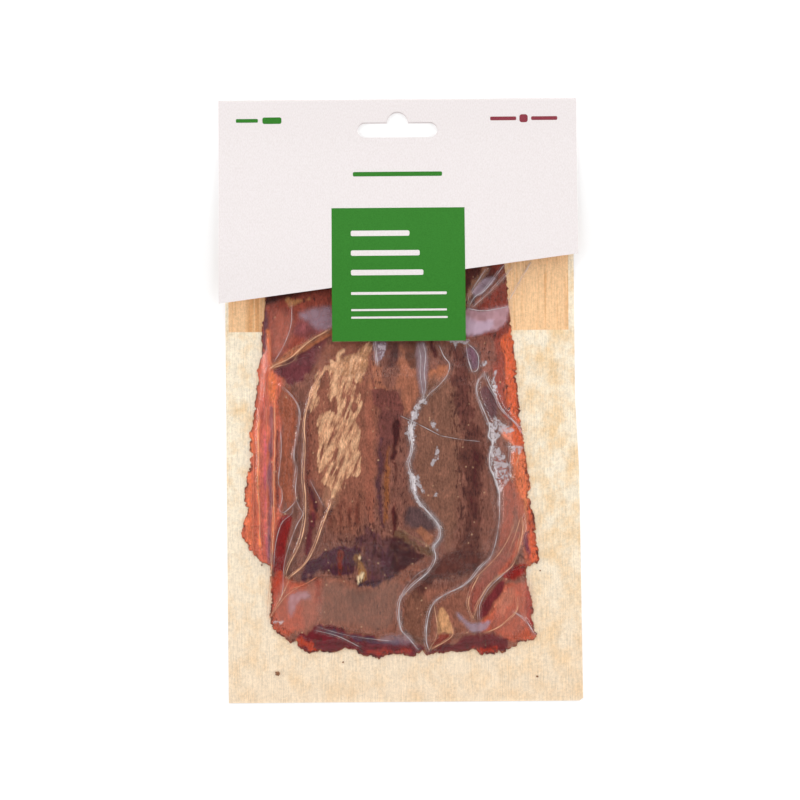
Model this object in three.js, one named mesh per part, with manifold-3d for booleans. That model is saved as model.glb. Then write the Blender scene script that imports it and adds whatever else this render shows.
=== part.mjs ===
// A hanging pack of sliced cured meat, lying on its back: a folded header card with a euro hole,
// a stiff backing sheet, and one clear film drawn tight over a long stack of thin slices.
// Millimetres, +Z up. The origin is under the middle of the pack, on the surface it lies on.
// +Y runs up the pack, towards the fold of the card.
import * as THREE from "three";
import { mergeVertices } from "three/addons/utils/BufferGeometryUtils.js";
import Module from "manifold-3d";

const wasm = await Module();
wasm.setup();

// Header card: one sheet folded at its top edge
const CARD = {
  left: -72,
  right: 71,
  foldY: 120.5,
  leftLowY: 39, // the front panel's lower edge slants up from left to right
  rightLowY: 58,
  backLowY: 60, // the back panel is shorter, and hidden behind the front one
  thickness: 0.45,
  crown: 0.6, // how much lower the front panel lies at its two sides
  stepsAcross: 10,
};
// Underside of the front panel, [y, z], from where it parts from the back panel to its free edge.
// Above that the two panels are stuck together, so the first height is just under the thickness.
const CARD_RISE = [
  [104, 0.4],
  [96, 1.5],
  [88, 2.4],
  [78, 3.6],
  [69, 4.9],
  [60, 6.3],
  [50, 7.2],
  [40, 7.7],
  [22, 8.2],
];
// Square tab of the same sheet, hanging below the slanted edge
const TAB = { left: -27, right: 26, lowY: 23.6 };
// Standard 32 mm euro hole: a round-ended slot with a half-round bump above it
const HANG_HOLE = {
  x: -0.5,
  width: 32,
  lowY: 105.1,
  slotHeight: 6.1,
  bumpRadius: 4.2,
  backShift: -0.4, // the back panel's hole sits a little lower than the front one
};

// Backing sheet: stiff, flat on the floor, and bent up once where it lies on the card's back panel
const SHEET = {
  topY: 95,
  lowY: -120.5,
  thickness: 0.5,
  bendLowY: 47,
  bendHighY: 57,
  lift: 0.5, // height of its underside on the back panel
  cornerCut: 1.5,
};
// Side edges of the sheet, [x, y] from the top down: the right one runs outwards near the bottom
const SHEET_LEFT_EDGE = [
  [-70, 95],
  [-69.7, -120.5],
];
const SHEET_RIGHT_EDGE = [
  [69.4, 95],
  [69.7, 0],
  [71.1, -28],
  [72, -119.4],
];

// Slices under film
const FILM = {
  clearance: 0.05, // to the backing sheet
  rimHeight: 1.3, // one or two slices at the ragged edge
  shoulder: 27, // how far in from the edge the stack reaches its full height
  gridStep: 2.4,
  area: { left: -70, right: 70, low: -112, high: 72 }, // of the grid that its top is shaped on
};
// Cutting prisms run from below the pack to above it
const CUT = { low: -1, high: 20 };
// Full height of the filmed stack above the backing sheet, along the pack: [y, height]
const STACK_HEIGHT = [
  [68, 1.2],
  [62, 3.2],
  [52, 4.3],
  [40, 5.1],
  [24, 6.3],
  [10, 6.9],
  [-15, 7.3],
  [-45, 7.0],
  [-62, 6.0],
  [-72, 4.4],
  [-82, 3.9],
  [-92, 3.1],
  [-103, 2.0],
];
// Ragged rims, made of torn lobes
const RIM = {
  lobeLength: 13,
  lobeDepth: 1.6,
  insetShare: 0.7, // how much of a lobe's depth lies inside the smooth outline
  pointSpacing: 2.6,
};
// Slow waves that make the lobes uneven in length: [waves, strength, start]
const LOBE_WAVES = [
  [2.3, 0.35, 0],
  [5.1, 0.2, 1],
];
// The upper slices: the wide stack, wider at its lower end, clockwise from its top left
const UPPER_STACK = [
  [-51, 64],
  [-20, 67],
  [14, 68],
  [39, 65],
  [43, 42],
  [45, 22],
  [46.5, 4],
  [49, -15],
  [51, -38],
  [53.5, -52],
  [54, -62],
  [49, -67],
  [20, -70],
  [-20, -71],
  [-53, -65],
  [-62, -59],
  [-64, -53],
  [-61.5, -31],
  [-59.5, -10],
  [-57, 11],
  [-54, 35],
];
// The lower slices, which reach further down the pack
const LOWER_STACK = [
  [-50, -40],
  [46, -40],
  [49.5, -70],
  [51.5, -84],
  [52.5, -94],
  [44, -98],
  [35, -101],
  [24, -99.5],
  [4, -101.8],
  [-12, -101.6],
  [-33, -99.8],
  [-43, -98],
  [-53.5, -88],
  [-53, -70],
];
// Folds that stand up in the film where it bridges between the slices
const FOLDS = {
  leftShoulder: { height: 0.8, halfWidth: 4, path: [[-51, 14], [-44, 18.5], [-28, 28]] },
  leftBow: {
    height: 1.0,
    halfWidth: 4.5,
    path: [[-47, 7], [-41, -9], [-42, -38], [-39.5, -45], [-48, -68]],
  },
  leftGussetOuter: { height: 1.2, halfWidth: 4, path: [[-33, 8], [-38.5, -14], [-38.5, -47], [-46, -70]] },
  leftGussetInner: { height: 1.1, halfWidth: 4, path: [[-46, -70], [-36, -59], [-31, -49], [-27, -39]] },
  middleWave: {
    height: 1.1,
    halfWidth: 4,
    path: [[7, 22], [7.5, -1], [4, -20], [9, -43], [15, -52], [12, -66], [-1, -81], [-1, -90], [7, -99]],
  },
  rightWaveUpper: { height: 1.1, halfWidth: 4, path: [[33, 10], [30.5, 4], [37, -17], [35, -27], [39, -36]] },
  rightWaveLower: {
    height: 1.1,
    halfWidth: 4,
    path: [[39, -36], [38, -52], [35, -63], [21, -76], [13, -80], [10, -99]],
  },
  rightBranch: { height: 0.8, halfWidth: 3.5, path: [[34, 7], [38.5, -1], [46, -10]] },
  lowLoopOuter: { height: 0.8, halfWidth: 3.5, path: [[30, -73], [26.5, -81], [28, -87]] },
  lowLoopInner: { height: 0.8, halfWidth: 3.5, path: [[28, -87], [31, -83], [36.5, -73], [44, -66]] },
  pleatBesideTab: { height: 0.7, halfWidth: 3.5, path: [[27, 37], [33, 47]] },
};

// The solid of a closed geometry
function solidOf(geometry) {
  const bare = geometry.clone();
  bare.deleteAttribute("normal");
  bare.deleteAttribute("uv");
  const merged = mergeVertices(bare, 1e-4);
  return new wasm.Manifold(
    new wasm.Mesh({
      numProp: 3,
      vertProperties: merged.attributes.position.array,
      triVerts: new Uint32Array(merged.index.array),
    }),
  );
}

// The geometry of a solid, with flat faces
function geometryOf(solid) {
  const mesh = solid.getMesh();
  const geometry = new THREE.BufferGeometry();
  geometry.setAttribute("position", new THREE.BufferAttribute(mesh.vertProperties, 3));
  geometry.setIndex(new THREE.BufferAttribute(mesh.triVerts, 1));
  const flat = geometry.toNonIndexed();
  flat.computeVertexNormals();
  return flat;
}

// Value at y of a list of [y, value] stations that run down the pack, straight between them
function stationValue(stations, y) {
  if (y >= stations[0][0]) return stations[0][1];
  for (let i = 1; i < stations.length; i += 1) {
    const [highY, highValue] = stations[i - 1];
    const [lowY, lowValue] = stations[i];
    if (y >= lowY) return THREE.MathUtils.lerp(lowValue, highValue, (y - lowY) / (highY - lowY));
  }
  return stations[stations.length - 1][1];
}

// A sheet of even thickness whose underside follows [y, z] points, as a solid that spans x
function bentSheet(underside, thickness, left, right, steps) {
  const profile = new THREE.Shape([
    ...underside.map(([y, z]) => new THREE.Vector2(y, z)),
    ...underside.map(([y, z]) => new THREE.Vector2(y, z + thickness)).reverse(),
  ]);
  const geometry = new THREE.ExtrudeGeometry(profile, {
    depth: right - left,
    steps,
    bevelEnabled: false,
  });
  // The profile's plane turns from XY to YZ, and its depth runs along +X.
  const turn = new THREE.Matrix4().set(0, 0, 1, left, 1, 0, 0, 0, 0, 1, 0, 0, 0, 0, 0, 1);
  return geometry.applyMatrix4(turn);
}

// An upright prism on a flat outline, from z = low to z = high
function prism(shape, { low, high }) {
  const geometry = new THREE.ExtrudeGeometry(shape, {
    depth: high - low,
    bevelEnabled: false,
    curveSegments: 10,
  });
  return solidOf(geometry.translate(0, 0, low));
}

function shapeOf(points) {
  return new THREE.Shape(points.map(([x, y]) => new THREE.Vector2(x, y)));
}

// The euro hole's outline, moved up or down by shift
function hangHoleShape(shift) {
  const endRadius = HANG_HOLE.slotHeight / 2;
  const endX = HANG_HOLE.width / 2 - endRadius;
  const middleY = HANG_HOLE.lowY + endRadius + shift;
  const shape = new THREE.Shape();
  shape.absarc(HANG_HOLE.x - endX, middleY, endRadius, Math.PI / 2, 1.5 * Math.PI, false);
  shape.absarc(HANG_HOLE.x + endX, middleY, endRadius, -Math.PI / 2, Math.PI / 2, false);
  shape.absarc(HANG_HOLE.x, middleY + endRadius, HANG_HOLE.bumpRadius, 0, Math.PI, false);
  return shape;
}

// The ragged outline of a stack of slices: a closed curve pushed in and out by torn lobes
function raggedOutline(points) {
  const curve = new THREE.CatmullRomCurve3(
    points.map(([x, y]) => new THREE.Vector3(x, y, 0)),
    true,
    "centripetal",
  );
  const length = curve.getLength();
  const count = Math.round(length / RIM.pointSpacing);
  const spaced = curve.getSpacedPoints(count).slice(0, count);
  return spaced.map((point, i) => {
    const before = spaced[(i + count - 1) % count];
    const after = spaced[(i + 1) % count];
    const outward = new THREE.Vector3(before.y - after.y, after.x - before.x, 0).normalize();
    const lobes = ((i / count) * length) / RIM.lobeLength;
    const bend = LOBE_WAVES.reduce(
      (sum, [waves, strength, start]) => sum + strength * Math.sin(waves * lobes + start),
      0,
    );
    const push = RIM.lobeDepth * (Math.abs(Math.sin(Math.PI * (lobes + bend))) - RIM.insetShare);
    return [point.x + push * outward.x, point.y + push * outward.y];
  });
}

// Distance from a point to the stretch between two others
function distanceToStretch(x, y, [ax, ay], [bx, by]) {
  const along = ((x - ax) * (bx - ax) + (y - ay) * (by - ay)) / ((bx - ax) ** 2 + (by - ay) ** 2);
  const t = THREE.MathUtils.clamp(along, 0, 1);
  return Math.hypot(x - ax - t * (bx - ax), y - ay - t * (by - ay));
}

// How far a point lies inside a closed outline, or 0 outside it
function depthInside(x, y, outline) {
  let inside = false;
  let nearest = Infinity;
  outline.forEach((a, i) => {
    const b = outline[(i + 1) % outline.length];
    nearest = Math.min(nearest, distanceToStretch(x, y, a, b));
    const crosses = a[1] > y !== b[1] > y;
    if (crosses && x < a[0] + ((y - a[1]) * (b[0] - a[0])) / (b[1] - a[1])) inside = !inside;
  });
  return inside ? nearest : 0;
}

// Each fold with its path as a smooth run of short stretches
const foldRuns = Object.values(FOLDS).map(({ height, halfWidth, path }) => {
  const curve = new THREE.SplineCurve(path.map(([x, y]) => new THREE.Vector2(x, y)));
  const run = curve.getPoints(6 * path.length).map((point) => [point.x, point.y]);
  return { height, halfWidth, run };
});

// Height of the folds at a point: a rounded ridge along each run
function foldHeight(x, y) {
  return foldRuns.reduce((highest, { height, halfWidth, run }) => {
    let nearest = Infinity;
    for (let k = 1; k < run.length; k += 1) {
      nearest = Math.min(nearest, distanceToStretch(x, y, run[k - 1], run[k]));
    }
    const share = Math.max(0, 1 - (nearest / halfWidth) ** 2);
    return Math.max(highest, height * share ** 2);
  }, 0);
}

// Underside of the backing sheet at y
function sheetUnderside(y) {
  return SHEET.lift * THREE.MathUtils.smoothstep(y, SHEET.bendLowY, SHEET.bendHighY);
}

// Points [y, z] of the sheet's bend, at a height above its underside
function sheetBend(above) {
  const count = 6;
  return Array.from({ length: count + 1 }, (_, i) => {
    const y = THREE.MathUtils.lerp(SHEET.bendHighY, SHEET.bendLowY, i / count);
    return [y, sheetUnderside(y) + above];
  });
}

const upperOutline = raggedOutline(UPPER_STACK);
const lowerOutline = raggedOutline(LOWER_STACK);

// Top of the filmed stack at a point
function filmTop(x, y) {
  const depth = Math.max(depthInside(x, y, upperOutline), depthInside(x, y, lowerOutline));
  const full = stationValue(STACK_HEIGHT, y);
  const share = Math.sin((Math.PI / 2) * Math.min(1, depth / FILM.shoulder));
  const stack = THREE.MathUtils.lerp(Math.min(FILM.rimHeight, full), full, share);
  const fold = foldHeight(x, y) * Math.min(1, 2 * share); // folds die away at the rim
  return sheetUnderside(y) + SHEET.thickness + stack + fold;
}

function makeHeaderCard() {
  const outline = shapeOf([
    [CARD.left, CARD.foldY],
    [CARD.left, CARD.leftLowY],
    [TAB.left, slantedEdgeY(TAB.left)],
    [TAB.left, TAB.lowY],
    [TAB.right, TAB.lowY],
    [TAB.right, slantedEdgeY(TAB.right)],
    [CARD.right, CARD.rightLowY],
    [CARD.right, CARD.foldY],
  ]);
  const underside = [[CARD.foldY + 1, CARD_RISE[0][1]], ...CARD_RISE];
  const geometry = bentSheet(
    underside,
    CARD.thickness,
    CARD.left - 1,
    CARD.right + 1,
    CARD.stepsAcross,
  );
  const position = geometry.attributes.position;
  const free = CARD_RISE[CARD_RISE.length - 1][1];
  for (let i = 0; i < position.count; i += 1) {
    const sideways = (position.getX(i) / CARD.right) ** 2;
    const lifted = stationValue(CARD_RISE, position.getY(i)) / free;
    const drop = CARD.crown * sideways * (lifted - CARD_RISE[0][1] / free);
    position.setZ(i, position.getZ(i) - drop);
  }
  const front = solidOf(geometry)
    .intersect(prism(outline, CUT))
    .subtract(prism(hangHoleShape(0), CUT));
  const backOutline = shapeOf([
    [CARD.left, CARD.foldY],
    [CARD.left, CARD.backLowY],
    [CARD.right, CARD.backLowY],
    [CARD.right, CARD.foldY],
  ]);
  const back = prism(backOutline, { low: 0, high: CARD.thickness }).subtract(
    prism(hangHoleShape(HANG_HOLE.backShift), CUT),
  );
  return geometryOf(front.add(back));
}

// Height of the front panel's slanted edge line at x
function slantedEdgeY(x) {
  const along = (x - CARD.left) / (CARD.right - CARD.left);
  return THREE.MathUtils.lerp(CARD.leftLowY, CARD.rightLowY, along);
}

function makeBackingSheet() {
  const underside = [[SHEET.topY + 1, SHEET.lift], ...sheetBend(0), [SHEET.lowY - 1, 0]];
  const slab = solidOf(bentSheet(underside, SHEET.thickness, CARD.left - 1, -CARD.left + 1, 1));
  const outline = shapeOf([
    ...SHEET_LEFT_EDGE,
    [SHEET_RIGHT_EDGE[3][0] - SHEET.cornerCut, SHEET.lowY],
    ...[...SHEET_RIGHT_EDGE].reverse(),
  ]);
  return geometryOf(slab.intersect(prism(outline, CUT)));
}

function makeFilmAndSlices() {
  const { left, right, low, high } = FILM.area;
  const columns = Math.round((right - left) / FILM.gridStep);
  const rows = Math.round((high - low) / FILM.gridStep);
  const block = new THREE.BoxGeometry(right - left, high - low, 2, columns, rows, 1);
  block.translate((left + right) / 2, (low + high) / 2, 0);
  const position = block.attributes.position;
  for (let i = 0; i < position.count; i += 1) {
    if (position.getZ(i) > 0) position.setZ(i, filmTop(position.getX(i), position.getY(i)));
  }
  // The space above the backing sheet
  const gap = SHEET.thickness + FILM.clearance;
  const floor = [[high + 1, SHEET.lift + gap], ...sheetBend(gap), [low - 1, gap]];
  const above = solidOf(bentSheet(floor, CUT.high, left - 1, right + 1, 1));
  const outline = prism(shapeOf(upperOutline), CUT).add(prism(shapeOf(lowerOutline), CUT));
  return geometryOf(solidOf(block).intersect(above).intersect(outline));
}

const pack = new THREE.Group();

function addPiece(name, geometry, color, roughness) {
  const material = new THREE.MeshStandardMaterial({ color, roughness, metalness: 0 });
  const mesh = new THREE.Mesh(geometry, material);
  mesh.name = name;
  pack.add(mesh);
}

addPiece("header_card", makeHeaderCard(), "#f4ecec", 0.75);
addPiece("backing_sheet", makeBackingSheet(), "#f2dcb8", 0.6);
addPiece("film_and_slices", makeFilmAndSlices(), "#8a4a3c", 0.25);

export default pack;
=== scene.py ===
"""A hanging pack of sliced air-dried beef, lying on its back: header card, backing, slices and clear film."""

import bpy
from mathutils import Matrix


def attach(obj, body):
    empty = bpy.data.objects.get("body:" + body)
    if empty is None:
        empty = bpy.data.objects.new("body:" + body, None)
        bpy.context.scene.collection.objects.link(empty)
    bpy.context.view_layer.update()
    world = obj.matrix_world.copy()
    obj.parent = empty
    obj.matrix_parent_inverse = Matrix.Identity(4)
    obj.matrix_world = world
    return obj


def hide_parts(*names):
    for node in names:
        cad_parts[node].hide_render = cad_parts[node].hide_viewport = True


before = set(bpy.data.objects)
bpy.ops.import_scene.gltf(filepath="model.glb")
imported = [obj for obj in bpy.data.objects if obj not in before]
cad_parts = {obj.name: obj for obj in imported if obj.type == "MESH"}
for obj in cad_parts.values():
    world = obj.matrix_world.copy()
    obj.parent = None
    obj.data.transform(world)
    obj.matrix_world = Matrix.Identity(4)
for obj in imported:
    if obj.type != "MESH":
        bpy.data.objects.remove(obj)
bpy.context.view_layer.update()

import logging
import math
from dataclasses import dataclass
from enum import Enum
from typing import Sequence

import bpy
import numpy as np
from mathutils.geometry import delaunay_2d_cdt

MM = 0.001
BODY = "root"
# How far apart the points of a field's outline are, in mm
FIELD_SPACING = 0.8

Array = np.ndarray
Points = Sequence[tuple[float, float]]
log = logging.getLogger("pack")


def linear(code: str) -> tuple[float, float, float, float]:
    """Turn an sRGB hex colour into linear light.

    Args:
        code: a colour such as "#8F5E4E".

    Returns:
        Red, green, blue and an opaque alpha.
    """
    values = [int(code[i : i + 2], 16) / 255 for i in (1, 3, 5)]
    light = [v / 12.92 if v <= 0.04045 else ((v + 0.055) / 1.055) ** 2.4 for v in values]
    return (*light, 1.0)


def add_node(
    tree: bpy.types.NodeTree, kind: str, inputs: dict | None = None, stops: list | None = None, **settings
) -> bpy.types.Node:
    """Add a node to a tree, with its settings, values and links.

    Args:
        tree: the node tree.
        kind: Blender's name of the node.
        inputs: socket names or numbers, each with a value, an output socket, or a node, whose first output
            is then linked.
        stops: places and hex colours of a colour ramp.
        settings: properties of the node.

    Returns:
        The new node.
    """
    node = tree.nodes.new(kind)
    for name, value in settings.items():
        setattr(node, name, value)
    for i, (place, code) in enumerate(stops or []):
        elements = node.color_ramp.elements
        element = elements[i] if i < 2 else elements.new(place)
        element.position = place
        element.color = linear(code)
    for socket, value in (inputs or {}).items():
        if isinstance(value, bpy.types.Node):
            value = next(output for output in value.outputs if output.enabled)
        if isinstance(value, bpy.types.NodeSocket):
            tree.links.new(value, node.inputs[socket])
        else:
            node.inputs[socket].default_value = value
    return node


def ease(low: float, high: float, value: Array) -> Array:
    """Rise smoothly from 0 where the value is low to 1 where it is high, which may be below low."""
    share = np.clip((value - low) / (high - low), 0.0, 1.0)
    return share * share * (3.0 - 2.0 * share)


def curve_through(points: Points, spacing: float, closed: bool = False) -> Array:
    """Draw a centripetal Catmull-Rom curve through points.

    Args:
        points: the places that the curve passes.
        spacing: about how far apart the result's points are.
        closed: whether the curve returns to its start.

    Returns:
        An array of x, y rows, which doesn't repeat the first point of a closed curve.
    """
    given = np.array(points, float)
    if closed:
        ring = np.concatenate([given[-1:], given, given[:2]])
    else:
        ring = np.concatenate([2 * given[:1] - given[1:2], given, 2 * given[-1:] - given[-2:-1]])
    drawn = []
    for p0, p1, p2, p3 in zip(ring, ring[1:], ring[2:], ring[3:]):
        t1 = math.dist(p0, p1) ** 0.5
        t2 = t1 + math.dist(p1, p2) ** 0.5
        t3 = t2 + math.dist(p2, p3) ** 0.5
        count = max(1, round(math.dist(p1, p2) / spacing))
        t = np.linspace(t1, t2, count, endpoint=False)[:, None]
        a1 = (p0 * (t1 - t) + p1 * t) / t1
        a2 = (p1 * (t2 - t) + p2 * (t - t1)) / (t2 - t1)
        a3 = (p2 * (t3 - t) + p3 * (t - t2)) / (t3 - t2)
        b1 = (a1 * (t2 - t) + a2 * t) / t2
        b2 = (a2 * (t3 - t) + a3 * (t - t1)) / (t3 - t1)
        drawn.append((b1 * (t2 - t) + b2 * (t - t1)) / (t2 - t1))
    if not closed:
        drawn.append(given[-1:])
    return np.concatenate(drawn)


def split_edges(corners: Points, spacing: float) -> Array:
    """Walk round straight edges in short, even steps.

    Args:
        corners: the corners of a closed outline.
        spacing: about how far apart the result's points are.

    Returns:
        An array of x, y rows that starts at the first corner.
    """
    walked = []
    for a, b in zip(corners, [*corners[1:], corners[0]]):
        count = max(1, round(math.dist(a, b) / spacing))
        share = np.arange(count)[:, None] / count
        walked.append(np.array(a) * (1 - share) + np.array(b) * share)
    return np.concatenate(walked)


def crossed(xs: Array, ys: Array) -> Array:
    """Cross two rows of numbers into x, y rows."""
    x, y = np.meshgrid(xs, ys)
    return np.column_stack([x.ravel(), y.ravel()])


def is_inside(points: Array, loops: list[Array]) -> Array:
    """Tell which points lie inside an outline and outside its holes.

    Args:
        points: x, y rows.
        loops: the outline and any holes in it, as x, y rows.

    Returns:
        True for each point inside.
    """
    x, y = points.T
    inside = np.zeros(len(points), bool)
    for loop in loops:
        for (ax, ay), (bx, by) in zip(loop, np.roll(loop, -1, axis=0)):
            if ay != by:
                inside ^= ((ay > y) != (by > y)) & (x < ax + (y - ay) * (bx - ax) / (by - ay))
    return inside


@dataclass(frozen=True)
class ValueNoise:
    """Smooth random relief over the plan, from -1 to 1, in cells of a given width and length in mm."""

    seed: int
    width: float
    length: float
    lean: float = 0.0
    size: int = 97

    def at(self, x: Array, y: Array) -> Array:
        """Read the noise.

        Args:
            x: the places' x in mm.
            y: the places' y in mm.

        Returns:
            A number from -1 to 1 for each place.
        """
        lattice = np.random.default_rng(self.seed).uniform(-1.0, 1.0, (self.size, self.size))
        u = (x - self.lean * y) / self.width
        v = y / self.length
        i = np.floor(u).astype(int)
        j = np.floor(v).astype(int)
        across = ease(0.0, 1.0, u - i)
        along = ease(0.0, 1.0, v - j)
        i0, i1 = i % self.size, (i + 1) % self.size
        j0, j1 = j % self.size, (j + 1) % self.size
        low = lattice[i0, j0] * (1 - across) + lattice[i1, j0] * across
        high = lattice[i0, j1] * (1 - across) + lattice[i1, j1] * across
        return low * (1 - along) + high * along


def layered(x: Array, y: Array, *layers: tuple[float, ...]) -> Array:
    """Add up layers of noise at x, y in mm, each given by its weight and its ValueNoise values."""
    return sum(weight * ValueNoise(*values).at(x, y) for weight, *values in layers)


@dataclass(frozen=True)
class PlanGrid:
    """An even grid over part of the pack's plan, in mm, for heights and distances."""

    left: float = -70.0
    right: float = 62.0
    low: float = -112.0
    high: float = 80.0
    step: float = 0.4

    @property
    def xs(self) -> Array:
        """The columns' x."""
        return np.arange(self.left, self.right + self.step / 2, self.step)

    @property
    def ys(self) -> Array:
        """The rows' y."""
        return np.arange(self.low, self.high + self.step / 2, self.step)

    def mesh(self) -> tuple[Array, Array]:
        """The x and y of every grid point, in rows of equal y."""
        return np.meshgrid(self.xs, self.ys)

    def sample(self, values: Array, x: Array, y: Array) -> Array:
        """Read grid values between grid points.

        Args:
            values: one value, or one row of values, for each grid point.
            x: the places' x.
            y: the places' y.

        Returns:
            The values at the places.
        """
        u = np.clip((x - self.left) / self.step, 0, len(self.xs) - 1.001)
        v = np.clip((y - self.low) / self.step, 0, len(self.ys) - 1.001)
        i, j = u.astype(int), v.astype(int)
        across, along = u - i, v - j
        if values.ndim > 2:
            across, along = across[..., None], along[..., None]
        low = values[j, i] * (1 - across) + values[j, i + 1] * across
        high = values[j + 1, i] * (1 - across) + values[j + 1, i + 1] * across
        return low * (1 - along) + high * along

    def distance(self, path: Array, reach: float, closed: bool = False) -> Array:
        """Measure how far each grid point is from a path.

        Args:
            path: x, y rows.
            reach: the largest distance that matters, given where it is further.
            closed: whether the path returns to its start.

        Returns:
            The distance at each grid point.
        """
        nearest = np.full((len(self.ys), len(self.xs)), float(reach))
        ends = np.roll(path, -1, axis=0) if closed else path[1:]
        for (ax, ay), (bx, by) in zip(path, ends):
            i0 = max(0, int((min(ax, bx) - reach - self.left) / self.step))
            i1 = max(0, int((max(ax, bx) + reach - self.left) / self.step) + 2)
            j0 = max(0, int((min(ay, by) - reach - self.low) / self.step))
            j1 = max(0, int((max(ay, by) + reach - self.low) / self.step) + 2)
            x = self.xs[None, i0:i1]
            y = self.ys[j0:j1, None]
            if not x.size or not y.size:
                continue
            length = (bx - ax) ** 2 + (by - ay) ** 2 or 1.0
            share = np.clip(((x - ax) * (bx - ax) + (y - ay) * (by - ay)) / length, 0, 1)
            far = np.hypot(x - ax - share * (bx - ax), y - ay - share * (by - ay))
            nearest[j0:j1, i0:i1] = np.minimum(nearest[j0:j1, i0:i1], far)
        return nearest

    def depth(self, outline: Array, reach: float = 6.0) -> Array:
        """Measure how far each grid point lies inside a closed outline.

        Args:
            outline: x, y rows.
            reach: the largest depth that matters.

        Returns:
            The depth at each grid point, negative outside.
        """
        inside = np.zeros((len(self.ys), len(self.xs)), bool)
        for (ax, ay), (bx, by) in zip(outline, np.roll(outline, -1, axis=0)):
            for j in np.nonzero((ay > self.ys) != (by > self.ys))[0]:
                inside[j] ^= self.xs > ax + (self.ys[j] - ay) * (bx - ax) / (by - ay)
        return self.distance(outline, reach, closed=True) * np.where(inside, 1.0, -1.0)

    def blur(self, values: Array, sigma: float) -> Array:
        """Soften grid values with a bell-shaped brush.

        Args:
            values: one value for each grid point.
            sigma: the brush's size in mm.

        Returns:
            The softened values.
        """
        cells = sigma / self.step
        reach = math.ceil(2.5 * cells)
        weights = np.exp(-0.5 * (np.arange(-reach, reach + 1) / cells) ** 2)
        weights /= weights.sum()
        for axis in (0, 1):
            padded = np.pad(values, [(reach, reach) if a == axis else (0, 0) for a in (0, 1)], mode="edge")
            count = values.shape[axis]
            values = sum(w * np.take(padded, range(k, k + count), axis) for k, w in enumerate(weights))
        return values

    def stretch(self, floor: Array, steps: int) -> Array:
        """Pull a thin skin tight over a relief.

        Args:
            floor: the relief's height at each grid point.
            steps: how often each point moves to the mean of its neighbours, or to the relief if higher.

        Returns:
            The skin's height at each grid point.
        """
        skin = floor.copy()
        for _ in range(steps):
            ring = np.pad(skin, 1, mode="edge")
            mean = (ring[:-2, 1:-1] + ring[2:, 1:-1] + ring[1:-1, :-2] + ring[1:-1, 2:]) / 4
            skin = np.maximum(floor, mean)
        return skin


def triangulate(loops: list[Array], inner: Array) -> tuple[Array, Array]:
    """Fill the first loop, less the others, with triangles.

    Args:
        loops: the outer outline and any holes, as x, y rows.
        inner: more points to use inside.

    Returns:
        The points, and the triangles as rows of three point numbers, anticlockwise.
    """
    points = np.concatenate([*loops, inner[is_inside(inner, loops)]])
    edges = []
    for loop in loops:
        start, count = len(edges), len(loop)
        edges += [(start + i, start + (i + 1) % count) for i in range(count)]
    filled = delaunay_2d_cdt([tuple(map(float, p)) for p in points], edges, [], 0, 1e-6)
    places = np.array([tuple(p) for p in filled[0]])
    triangles = np.array(filled[2])
    triangles = triangles[is_inside(places[triangles].mean(axis=1), loops)]
    a, b, c = (places[triangles[:, k]] for k in range(3))
    turn = (b[:, 0] - a[:, 0]) * (c[:, 1] - a[:, 1]) - (b[:, 1] - a[:, 1]) * (c[:, 0] - a[:, 0])
    triangles[turn < 0] = triangles[turn < 0][:, ::-1]
    return places, triangles


@dataclass
class Shell:
    """A thin closed solid: an upper face, a lower face of the same triangles, and a wall round them."""

    vertices: Array
    faces: list
    parts: Array

    @classmethod
    def between(cls, upper: Array, lower: Array, triangles: Array) -> "Shell":
        """Close the space between two faces.

        Args:
            upper: x, y, z rows of the upper face.
            lower: x, y, z rows of the lower face, in the same order.
            triangles: rows of three point numbers, anticlockwise from above.

        Returns:
            The closed solid, with part 0 for its upper faces, 1 for its lower faces and 2 for its wall.
        """
        count = len(upper)
        sides = triangles[:, [0, 1, 1, 2, 2, 0]].reshape(-1, 2)
        code = sides[:, 0].astype(np.int64) * count + sides[:, 1]
        back = sides[:, 1].astype(np.int64) * count + sides[:, 0]
        rim = sides[~np.isin(code, back)]
        wall = np.stack([rim[:, 0] + count, rim[:, 1] + count, rim[:, 1], rim[:, 0]], axis=1)
        faces = [*triangles.tolist(), *(triangles[:, ::-1] + count).tolist(), *wall.tolist()]
        parts = np.repeat([0, 1, 2], [len(triangles), len(triangles), len(wall)])
        return cls(np.concatenate([upper, lower]), faces, parts)

    def joined(self, other: "Shell") -> "Shell":
        """Put this solid and another into one."""
        faces = [*self.faces, *([v + len(self.vertices) for v in face] for face in other.faces)]
        return Shell(np.r_[self.vertices, other.vertices], faces, np.r_[self.parts, other.parts])


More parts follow.
